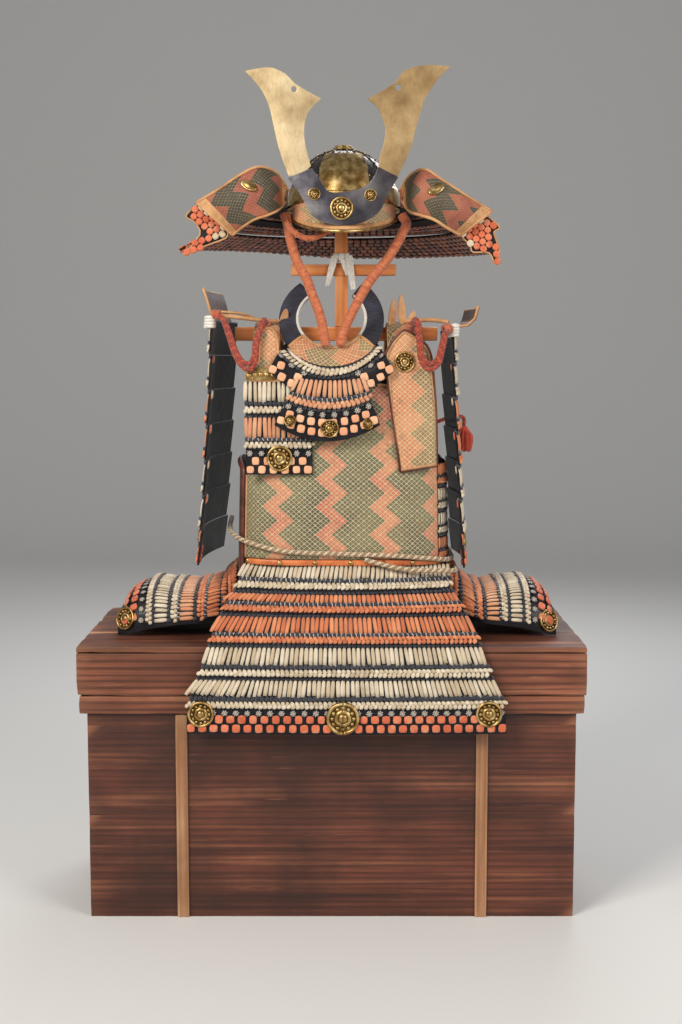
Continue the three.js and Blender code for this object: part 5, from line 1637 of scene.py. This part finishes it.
def brim_point(u, v, lift=0.0):
    a = math.radians(-90 + (u - 0.5) * 130)
    m = math.cos((u - 0.5) * math.pi * 0.92)
    r, out = BOWL["radius"] + 2, 58 * v * m
    return Vector((BOWL["x"] + (r + out * 0.12) * math.cos(a), BOWL["y"] + (r * 1.08 + out) * math.sin(a),
                   BOWL["rim"] - 1.5 - v * (12 + 36 * m) - 10 * v * v + lift))


brim_grid = [[brim_point(u, v, 1.2) for u in spread(56)] for v in spread(10)]
brim = skin("helmet_brim", brim_grid, 2.6, plate_print, lambda r, c: (c * 4.4, r * 7.5))
fasten(brim, "printed_leather", "helmet_brim")
lip = [brim_point(u, 1.0, -0.2) for u in spread(70)]
band = [brim_point(u, 0.86, 1.7) for u in spread(70)]
fasten(piece("brim_lip", *tube(lip, 3.0, 10)[:2], gilt), "gilt")
wide = [[p + (q - p) * t + Vector((0, 0, 0.9)) for p, q in zip(band, lip)] for t in spread(3)]
fasten(piece("brim_band", *wall(wide, 1.2), tan_leather), "plain_leather")

# Neck guard: three widening laced lames hung under the bowl's rim, right round the back. Their undersides
# show from the front: dark lacquer with the slanting stitches of the lacing.
NECK = [dict(name=1, r=(100, 166), z=(1326.3, 1310), front=23, lift=0),
        dict(name=2, r=(160, 232), z=(1306.9, 1286), front=16, lift=3),
        dict(name=3, r=(226, 298), z=(1283.3, 1244), front=6, lift=6, sweep=12)]


def neck_point(lame, deg, v):
    a = math.radians(deg)
    out = lame["r"][0] + (lame["r"][1] - lame["r"][0]) * v
    back_ = max(0, math.sin(a))
    return Vector((BOWL["x"] - 4 * (lame["name"] - 1) + out * math.cos(a) * 1.02,
                   -14 + 14 * (lame["name"] == 1) + out * math.sin(a) * (0.95 - 0.06 * back_),
                   lame["z"][0] + (lame["z"][1] - lame["z"][0]) * v
                   + (lame["lift"] + 2 * lame.get("sweep", 0) * max(0, -math.cos(a))) * back_ * v))


smoked_lacquer = Paint("smoked_lacquer", 0.8)
smoked_lacquer.shader.inputs["Specular IOR Level"].default_value = 0.15
smoke = smoked_lacquer.noise(smoked_lacquer.at(), 30, 4)
smoked_lacquer.colour(smoked_lacquer.ramp(smoke, (0.35, "0b0908"), (0.7, "241b16")))
smoked_lacquer.bump(smoke, 0.4, 0.5)
neck_rows = {
    1: [("lace", "cream", 0.1, 0.5), ("picots", "navy", 0.5, 0.6, 1), ("plait", "cream", 0.62, 0.84),
        ("picots", "navy", 0.86, 0.95, 0)],
    2: [("lace", "orange", 0.08, 0.5), ("picots", "navy", 0.5, 0.6, 1), ("plait", "orange", 0.62, 0.84),
        ("picots", "navy", 0.86, 0.95, 0)],
    3: [("lace", "cream", 0.06, 0.38), ("plait", "cream", 0.4, 0.56), ("square", "orange", 0.7, 0.8),
        ("square", "orange", 0.92, 0.98)],
}
for lame in NECK:
    n = lame["name"]
    low_deg, high_deg = -lame["front"], 180 + lame["front"]

    def neck_surface(u, v, lame=lame, low_deg=low_deg, high_deg=high_deg, lift=1.5):
        return neck_point(lame, low_deg + (high_deg - low_deg) * u, -v / 100) + Vector((0, 0, lift))

    grid = [[neck_surface(u, -100 * v) for u in spread(96)] for v in spread(8)]
    fasten(soften(piece(f"neck_guard_{n}", *wall(grid, 3), smoked_lacquer), 0.4), "laced_lames", f"neck_guard_{n}")
    lacing = Lacing(f"neck_lacing_{n}")
    tie(lacing, neck_surface, 0, -100, neck_rows[n], count=90)

    def under(u, v, f=neck_surface):
        return f(1 - u, v, lift=-1.9)

    for row_, v in enumerate((-8, -25, -42, -59, -76, -93) if n == 3 else (-40, -62, -84) if n == 2 else (-80,)):
        trim = 0.3 + 0.5 * (row_ % 2)
        # painted shade: the scales along the middle of each underside are laid in the darker copy of the orange silk,
        # only those at the front ends in plain orange
        for colour, u0, u1 in (("orange", 0, 0.1), ("rust", 0.1, 0.9), ("orange", 0.9, 1)):
            lacing.row("scale", colour, under, v, 10, pitch=14.2, trim=trim, lift=-1.2, count=60, u0=u0, u1=u1)
    lacing.finish(seed=150 + n)

# Wings: the front ends of the top lame, rolled back on either side of the brim. Stencilled leather, a tan
# border with small rivets, and an oval gilt fitting. Beyond them show the lower lames' laced ends.
WING = {
    "left": dict(low=[(-87, 1331), (-96, 1314), (-116, 1302), (-140, 1294), (-162, 1282), (-184, 1268)],
                 high=[(-81, 1351), (-102, 1380), (-134, 1388), (-166, 1374), (-207, 1349), (-250, 1328)]),
    "right": dict(low=[(131, 1333), (143, 1310), (161, 1302), (186, 1294), (211, 1280), (239, 1268)],
                  high=[(126, 1350), (143, 1374), (168, 1384), (204, 1363), (248, 1337), (296, 1312)]),
}
ROLL = [-72, -106, -120, -122, -112, -88]
wing_print = print_on("wing_print", (8.2, 7.2), (0, 0), 9, 4, ("9a4a3a", "b0644a", "6e3428"),
                      ("3c382e", "504a3a", "26231e"), "a8926a", worn="4a382a", width=0.045, petals=0.4)


def eased(points, t):
    """A point on a smooth line through a list of points, at a share of its length."""
    line = smooth_line(points, 60)
    place = t * 60
    k = min(59, int(place))
    return line[k] + (line[k + 1] - line[k]) * (place - k)


for side, s in (("left", -1), ("right", 1)):
    low_line, high_line = (smooth_line([(x_, 0, z_) for x_, z_ in WING[side][key]], 40) for key in ("low", "high"))
    roll_line = smooth_line([(k, r, 0) for k, r in enumerate(ROLL)], 40)
    root = [neck_point(NECK[0], 203.7 if s < 0 else -23.7, 1 - 0.8 * v) for v in spread(16)]
    grid = []
    for n, v in enumerate(spread(16)):
        row = [root[n]]
        for k in range(41):
            p = low_line[k] + (high_line[k] - low_line[k]) * v
            row.append(Vector((p.x, roll_line[k].y - 16 * math.sin(math.pi * v) - 1.7, p.z)))
        mid = (row[0] + row[1]) / 2
        row.insert(1, mid + Vector((0, -2, 0)))
        grid.append(row if s > 0 else row[::-1])
    grid = grid[::-1]
    cols = len(grid[0])
    wing = skin("wing_" + side, grid, 3.2, wing_print, lambda r, c: (c * 4.3, r * 5.6))
    fasten(wing, "printed_leather", "wing_" + side)
    body = range(2, cols) if s > 0 else range(0, cols - 2)
    lines = [[grid[0][c] for c in body], [grid[-1][c] for c in body],
             [row[-1] for row in grid] if s > 0 else [row[0] for row in grid]]
    fasten(piece(f"wing_edges_{side}", *together(*[tube(line, 3.2, 8, 0.8)[:2] for line in lines]), tan_leather),
           "plain_leather")
    outer = range(cols - 4, cols) if s > 0 else range(0, 4)
    inner = range(3, 7) if s > 0 else range(cols - 7, cols - 3)
    for part_name, span in (("tip", outer), ("root", inner)):
        strip = [[grid[r][c] + Vector((0, -0.9, 0.2)) for c in span] for r in range(17)]
        fasten(soften(piece(f"wing_{part_name}_{side}", *wall(strip, 1.3), tan_leather), 0.4), "plain_leather")
    studs = []
    for r in (2, 6, 10, 14):
        for c in ((cols - 3 if s > 0 else 2), (4 if s > 0 else cols - 5)):
            studs.append((grid[r][c] + Vector((0, -1.2, 0)), Vector((0, -1, 0.1)).normalized(), Vector((1, 0, 0)), 1, 0))
    fasten(lay(f"wing_studs_{side}", studs, STUD, gilt, seed=25), "gilt")
    spot = grid[5][24] if s > 0 else grid[5][cols - 25]
    oval = turned([(0, -1), (14, -1), (15, 0.6), (13, 2.2), (11, 1.6), (6, 3.2), (0, 3.8)], 32)
    oval = ([Vector((v_.x * 1.15, v_.y * 0.62, v_.z)) for v_ in oval[0]], oval[1])
    tilt = Vector((0, -1, 0.45)).to_track_quat("Z", "X").to_matrix()
    spin = Matrix.Rotation(math.radians(90 + s * 30), 3, "Z")
    oval = ([tilt @ (spin @ v_) + spot + Vector((0, -1.4, 0)) for v_ in oval[0]], oval[1])
    fasten(piece(f"wing_fitting_{side}", *oval, gilt), "gilt")

TURNED = {
    "left": [(-248, 1325), (-218, 1324), (-204, 1309), (-193, 1280), (-193, 1263), (-240, 1247), (-281, 1225),
             (-241, 1270), (-252, 1292), (-274, 1302)],
    "right": [(240, 1265), (245, 1294), (266, 1314), (286, 1305), (314, 1282), (299, 1274), (304, 1262),
              (313, 1234), (304, 1210), (294, 1238), (259, 1236), (258, 1250)],
}


TIP = {"left": ((-250, 1328), (-184, 1268)), "right": ((296, 1312), (239, 1268))}


def inside_of(x_, z_, outline):
    hit = False
    for (x0, z0), (x1, z1) in zip(outline, outline[1:] + outline[:1]):
        if (z0 > z_) != (z1 > z_) and x_ < x0 + (x1 - x0) * (z_ - z0) / (z1 - z0):
            hit = not hit
    return hit


for side, s in (("left", -1), ("right", 1)):
    outline = TURNED[side]
    ends = cut_plate("turned_lames_" + side, rounded(outline, 2), -87.6, 3, black_lacquer, 0.8)
    fasten(ends, "laced_lames", "turned_lames_" + side)
    (x0, z0), (x1, z1) = TIP[side]
    run = Vector((x1 - x0, 0, z1 - z0)).normalized()
    fall = Vector((-run.z, 0, run.x)) * (1 if -run.z * s > 0 else -1)
    scales = {"orange": [], "cream": []}
    for row_ in range(-1, 9):
        for k in range(-8, 14):
            p = Vector((x0, -88.8, z0)) + fall * (row_ * 11.4) + run * ((k + 0.5 * (row_ % 2)) * 13.4)
            near = min((Vector((p.x, p.z)) - Vector(q)).length for q in outline)
            if inside_of(p.x, p.z, outline) and near > 3:
                pale = k > 4 or row_ < 1 and k < 3
                scales["cream" if pale else "orange"].append((p, Vector((0, -1, 0)), -run * s, 1.0, 0.0))
    for colour, places in scales.items():
        paint = SILK["cream"] if colour == "cream" else KNOTS["orange"]
        fasten(lay(f"turned_{colour}_{side}", places, PATTERNS["scale"], paint, uneven=0.08, seed=27), "laced_lames")
    rim_line = [Vector((x_, -88.4, z_)) for x_, z_ in rounded(outline, 2)]
    fasten(piece(f"turned_edge_{side}", *tube(rim_line + rim_line[:1], 1.5, 6)[:2], tan_leather), "plain_leather")

# Crest: a dark steel base plate across the brim, with three bosses, and two tall horns of thin gilt
# copper that plug in behind it. Each horn is notched near its tip, above a small hole.
BASE = [(-78, 1362), (-58, 1336), (-46, 1314), (-36, 1298), (-18, 1286), (4, 1280), (22, 1279), (48, 1282),
        (72, 1292), (88, 1306), (98, 1326), (112, 1352), (120, 1364), (84, 1382), (74, 1362), (56, 1346),
        (22, 1338), (-6, 1339), (-22, 1362), (-36, 1380)]
HORN = {
    "left": dict(hole=(-67, 1518, 5), edge=[(-155, 1550), (-110, 1556), (-84, 1546), (-65, 1528), (-40, 1513),
             (-18, 1502), (-38, 1482), (-46, 1467), (-49, 1448), (-48, 1428), (-45, 1412), (-37, 1383.5),
             (-55, 1369), (-77, 1366), (-87, 1392), (-96, 1421), (-103, 1451), (-107, 1471), (-114, 1495),
             (-124, 1515), (-140, 1535)]),
    "right": dict(hole=(119, 1521, 5), edge=[(213, 1558), (168, 1560), (130, 1550), (114, 1530), (88, 1514),
              (64, 1501), (81, 1487), (91, 1467), (96, 1448), (93, 1422), (86, 1399), (84, 1383.5),
              (100, 1372), (119, 1366), (130, 1388), (143, 1420), (151, 1450), (159, 1477), (167, 1502),
              (182, 1525), (199, 1546)]),
}


def flowing(points, sharp, each=5):
    """A smooth outline through points, which keeps the listed corners sharp."""
    count, made, starts = len(points), [], sorted(sharp)
    for n, start in enumerate(starts):
        end = starts[(n + 1) % len(starts)] + (count if n == len(starts) - 1 else 0)
        leg = [(*points[k % count], 0) for k in range(start, end + 1)]
        made += [(p.x, p.y) for p in smooth_line(leg, (end - start) * each)[:-1]] if len(leg) > 2 else \
            [points[start]]
    return made


crest_steel = Paint("crest_steel", 0.22, metal=1.0)
haze = crest_steel.noise(crest_steel.at((1, 1, 1)), 20, 5, 0.6)
brushed = crest_steel.noise(crest_steel.at((60, 60, 900)), 1.0, 3)
# painted shade: the plate is coloured darker towards its right side
shaded = crest_steel.step(crest_steel.node("SeparateXYZ", crest_steel.at()).outputs[0], -0.03, 0.09)
crest_steel.colour(crest_steel.mix(crest_steel.math("MULTIPLY", shaded, 0.6), crest_steel.ramp(
    haze, (0.35, "6c6a72"), (0.52, "9a949a"), (0.75, "cfc8c2")), "4c4444"))
crest_steel.rough(haze, 0.2, 0.42)
crest_steel.bump(brushed, 0.08, 0.5)
base_outline = flowing(BASE, [0, 12, 13, 19], 4)
base_plate = cut_plate("crest_base", base_outline, -168.9, 3, crest_steel, 2.2)
fasten(base_plate, "dark_steel", "crest_base")
bosses("crest_boss", 21, [((18, -172.0, 1309), (0, -1, 0))])
bosses("crest_bosses", 11, [((-31, -172.2, 1334), (0, -1, 0)), ((70, -172.2, 1332), (0, -1, 0))])

horn_gilt = Paint("horn_gilt", 0.38, metal=0.75)
cloud = horn_gilt.noise(horn_gilt.at(), 16, 5, 0.6)
fine = horn_gilt.noise(horn_gilt.at((260, 260, 60)), 1.0, 4, 0.7)
# painted light: the left horn takes the lighter ramp and the right horn the darker one, a lit and a shaded copy of the
# same gilt
across = horn_gilt.step(horn_gilt.node("SeparateXYZ", horn_gilt.at()).outputs[0], -0.02, 0.06)
horn_colour_shaded_right = horn_gilt.mix(across, horn_gilt.ramp(cloud, (0.3, "c0a478"), (0.52, "e6cda0"), (0.75, "f4e2bd")),
                            horn_gilt.ramp(cloud, (0.3, "93734c"), (0.52, "b99a6c"), (0.75, "d2b688")))
horn_gilt.colour(horn_gilt.mix(horn_gilt.math("MULTIPLY", horn_gilt.step(fine, 0.5, 0.75), 0.35), horn_colour_shaded_right,
                               "8a6a44"))
horn_gilt.rough(cloud, 0.3, 0.55)
horn_gilt.bump(fine, 0.12, 0.4)
for side in ("left", "right"):
    shape = flowing(HORN[side]["edge"], [0, 3, 5, 11, 13], 4)
    horn = cut_plate("horn_" + side, shape, -165.5, 1.8, horn_gilt, 1.0, [HORN[side]["hole"]])
    fasten(horn, "gilt", "horn_" + side)

# Cords. Thick padded chin cords come down from inside the helmet to the throat plate, braided silk loops
# hang at the shoulders, a twisted cord goes round the waist, and a tasselled one hangs at the back.
CORDS = {  # points of the line, radius, steps
    "chin_cord_left": ([(-86.5, -62, 1308), (-76, -88, 1258), (-64, -98, 1218), (-46, -106, 1185), (-38, -110, 1163),
                        (-21, -117, 1117), (-11, -126, 1063.9)], 9),
    "chin_cord_right": ([(131, -62, 1307), (139, -68, 1292), (132, -88, 1274), (106, -98, 1228), (69, -106, 1181),
                         (39, -114, 1128), (22, -120, 1090), (15, -126, 1064.3)], 9),
    "shoulder_loop_left": ([(-218.6, -116.4, 1121), (-204, -127, 1117), (-190, -138, 1084), (-177, -150, 1047),
                            (-162, -159, 1025), (-149, -162, 1021), (-139, -162, 1034), (-136, -161, 1065),
                            (-129, -157, 1092), (-124, -136, 1112), (-122, -108, 1100), (-122, -90.6, 1077.8)], 4.5),
    "shoulder_loop_right": ([(145, -90.6, 1077.9), (148, -112, 1104), (155, -140, 1112), (158, -157, 1078),
                             (163, -165, 1036), (177, -167, 1021), (193, -166, 1029), (203, -160, 1060),
                             (209, -146, 1086), (214, -128, 1093), (218.4, -116.6, 1096.2)], 4.5),
    "back_cord": ([(60, 135.6, 972), (68, 150, 958), (96, 168, 924), (150, 182, 900), (210, 184, 908),
                   (250, 178, 922), (270, 184, 918), (272, 186, 902)], 4),
}
CORDS["chin_inner_loop"] = ([(-92, -70, 1306), (-84, -88, 1290), (-66, -99, 1270), (-43, -103, 1261),
                             (-20, -102, 1267), (2, -94, 1284), (12, -78, 1304)], 5.5)
for side in ("left", "right"):  # each loop is doubled: the second strand lies inside the first
    points, radius = CORDS["shoulder_loop_" + side]
    heart = sum((Vector(p) for p in points), Vector()) / len(points)
    inner = []
    for k, p in enumerate(points):
        share = 0.2 * math.sin(math.pi * k / (len(points) - 1)) ** 0.6
        inner.append(Vector(p).lerp(heart, share) + Vector((0, -18 * share, 0)))
    CORDS["shoulder_inner_loop_" + side] = (inner, radius)
WAIST = {
    "waist_cord_upper": [(-186, 726, 24), (-176, 718, 20), (-164, 712, 17), (-150, 704, 12), (-136, 698, 8),
                         (-118, 690, 8), (-104, 684, 8), (-90, 680, 8), (-76, 676, 8), (-62, 672, 8), (-46, 668, 8),
                         (-30, 664, 9), (-12, 662, 9), (4, 664, 9)],
    "waist_cord_lower": [(-88, 669.6, 9), (-80, 657, 14), (-72, 652, 19), (-60, 650, 24), (-46, 648, 28),
                         (-34, 646, 28), (-22, 645, 22), (-12, 644, 12)],
}
for name, rows in WAIST.items():
    line = []
    for deg, z, out in rows:
        p = waist(deg, 660, out)
        line.append((p.x, p.y, z))
    CORDS[name] = (line, 4.5)


def braided(name, dark, light, third, strands, pitch, rough=0.65):
    """Cord silk: strands that cross as they go round, on the cord's own coordinates (turns, millimetres)."""
    paint = Paint(name, rough, sheen=0.35)
    u, v = paint.node("SeparateXYZ", paint.at(source="UV")).outputs[:2]
    m = paint.math
    one = m("FRACT", m("ADD", m("MULTIPLY", u, strands), m("DIVIDE", v, pitch)))
    two = m("FRACT", m("SUBTRACT", m("MULTIPLY", u, strands), m("DIVIDE", v, pitch)))
    over = m("LESS_THAN", m("FRACT", m("MULTIPLY", m("ADD", u, m("DIVIDE", v, pitch * strands)), strands / 2)), 0.5)
    hill = m("MAXIMUM", m("SUBTRACT", 1.0, m("ABSOLUTE", m("SUBTRACT", m("MULTIPLY", one, 2), 1))),
             m("SUBTRACT", 1.0, m("ABSOLUTE", m("SUBTRACT", m("MULTIPLY", two, 2), 1))))
    soft = paint.noise(paint.at(), 45, 3)
    colour = paint.mix(over, light, third)
    # painted shade: the grooves between the strands are coloured dark
    colour = paint.mix(paint.step(hill, 0.55, 0.15), colour, dark)
    paint.colour(paint.mix(m("MULTIPLY", paint.step(soft, 0.45, 0.75), 0.3), colour, dark))
    paint.bump(hill, 1.2, 0.8)
    return paint


padded_silk = Paint("chin_cord_cloth", 0.75, sheen=0.3)
creases = padded_silk.noise(padded_silk.at((3, 0.16, 1), "UV"), 1.0, 4, 0.6, 0.4)
thread = padded_silk.noise(padded_silk.at(), 600, 2)
# painted shade: the cloth is coloured darker in the hollows of its creases
padded_silk.colour(padded_silk.ramp(creases, (0.3, "98472a"), (0.5, "b8623a"), (0.72, "cb7c50")))
padded_silk.bump(creases, 0.7, 0.5)
padded_silk.bump(thread, 0.2, 0.5)
red_braid = braided("loop_silk", "4a1006", "94301a", "ae421f", 3, 7.5, 0.6)
waist_braid = braided("waist_silk", "4c382a", "d9c7a6", "a4805c", 4, 6.4, 0.7)
FINISHES = {"chin": padded_silk, "shoulder": red_braid, "waist": waist_braid, "back": red_braid}
SLOTS = {"chin": "orange_cord", "shoulder": "orange_cord", "waist": "waist_braid", "back": "orange_cord"}


def cord_radius(name, base):
    """A cord's thickness along its length: chin cords are wrinkled cloth tubes, braids are even."""
    if not name.startswith("chin"):
        return base
    return lambda t: base * (1 + 0.012 * math.sin(t * 95) + 0.03 * noise.noise(Vector((t * 30, 1.7, 0))))


backing_tassel = []
for n in range(60):
    t, ring = 2 * math.pi * n * 0.381966, (n % 5) / 5
    r0, r1 = 3 + 4 * ring, 9 + 10 * ring
    x_, y_ = math.cos(t), math.sin(t)
    line = [(272 + r0 * x_, 186 + r0 * y_, 896), (272 + (r1 + 1) * x_, 186 + (r1 + 1) * y_, 880),
            (272 + r1 * x_, 186 + r1 * y_, 864), (272 + r1 * 0.86 * x_, 186 + r1 * 0.86 * y_, 848 + 2 * (n % 3))]
    backing_tassel.append(tube(smooth_line(line, 6), 1.5, 5)[:2])
head = turned([(0, 886), (9, 887), (10, 893), (8, 899), (4, 901.5), (0, 902)], 20, (272, 186, 0))
tassel_silk = Paint("tassel_silk", 0.65, sheen=0.35)
streaks = tassel_silk.noise(tassel_silk.at((700, 700, 40)), 1.0, 3)
tassel_silk.colour(tassel_silk.ramp(streaks, (0.3, "9c2a16"), (0.6, "d84f2c")))
tassel_silk.bump(streaks, 0.6, 0.8)
tassel = piece("back_tassel", *together(head, *backing_tassel), tassel_silk)
fasten(tassel, "orange_cord", "back_tassel")

for name, (points, radius) in CORDS.items():
    kind = name.split("_")[0]
    line = smooth_line(points, 140)
    verts, faces, uvs = tube(line, cord_radius(name, radius), 16)
    made = piece(name, verts, faces, FINISHES[kind], uvs)
    fasten(made, SLOTS[kind], *([] if "inner" in name else [name]))
    length = sum((a - b_).length for a, b_ in zip(line, line[1:])) * MM


def coil(centre, axis, radius, turns, thick, rise):
    """A cord wound round an axis: points, faces."""
    turn = Vector(axis).normalized().to_track_quat("Z", "Y").to_matrix()
    line = [turn @ Vector((radius * math.cos(t), radius * math.sin(t), rise * (t / math.tau - turns / 2))) + Vector(centre)
            for t in (math.tau * turns * k / (18 * turns) for k in range(18 * turns + 1))]
    return tube(line, thick, 8)[:2]


# Shoulder fittings: knots where the loops start, leather-bound toggles that lie over the straps, and
# white cotton wound round the top front corner of each shoulder guard.
knots = [coil((-212, -121, 1121), (1, -0.6, -0.1), 5.5, 3, 3.6, 5), coil((-122, -113, 1103), (0, -1, 0.4), 5.5, 3, 3.6, 5),
         coil((146, -104, 1099), (0, -1, 1), 5.5, 3, 3.6, 5), coil((213, -128, 1095), (1, 0.5, 0.1), 5.5, 3, 3.6, 5)]
fasten(piece("loop_knots", *together(*knots), KNOTS["orange"]), "orange_cord")
rods = [([(-214, -108, 1120), (-176, -92, 1117), (-130, -64, 1112), (-88, -40, 1110)], 4.0),
        ([(-206, -100, 1127), (-170, -80, 1124), (-140, -50, 1114)], 2.6),
        ([(216, -106, 1108), (190, -86, 1112), (160, -58, 1112), (134, -36, 1110)], 4.0)]
fasten(piece("shoulder_toggles", *together(*[tube(smooth_line(line, 20), r, 10)[:2] for line, r in rods]),
             tan_leather), "plain_leather")
tongues = []
for x_, y_, z_, tall, lean in ((112, -46, 1103, 52, 0.1), (134, -40, 1104, 60, -0.06), (146, -34, 1104, 30, 0.3),
                               (-94, -40, 1104, 34, 0.2)):
    line = [(x_ + lean * tall * v, y_ - 6 * math.sin(2.5 * v), z_ + tall * v - 4) for v in spread(8)]
    tongues.append(ribbon(line, [(7.5 * math.sin(math.pi * (0.16 + 0.8 * v)) ** 0.6, 1.5, 0) for v in spread(8)], 3.2))
fasten(soften(piece("shoulder_tongues", *together(*tongues), tan_leather), 0.8), "plain_leather")
wraps = [coil((-225, -114, 1108), (0.1, 0, 1), 8.5, 4, 3.4, 5.6), coil((225, -114, 1092), (0.1, 0, 1), 8.5, 4, 3.4, 5.6)]
fasten(piece("shoulder_wraps", *together(*wraps), tape_cotton), "white_tape")

for shape in [o for o in scene.objects if o.hide_render and "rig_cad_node" not in o]:
    bpy.data.objects.remove(shape)

low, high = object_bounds()
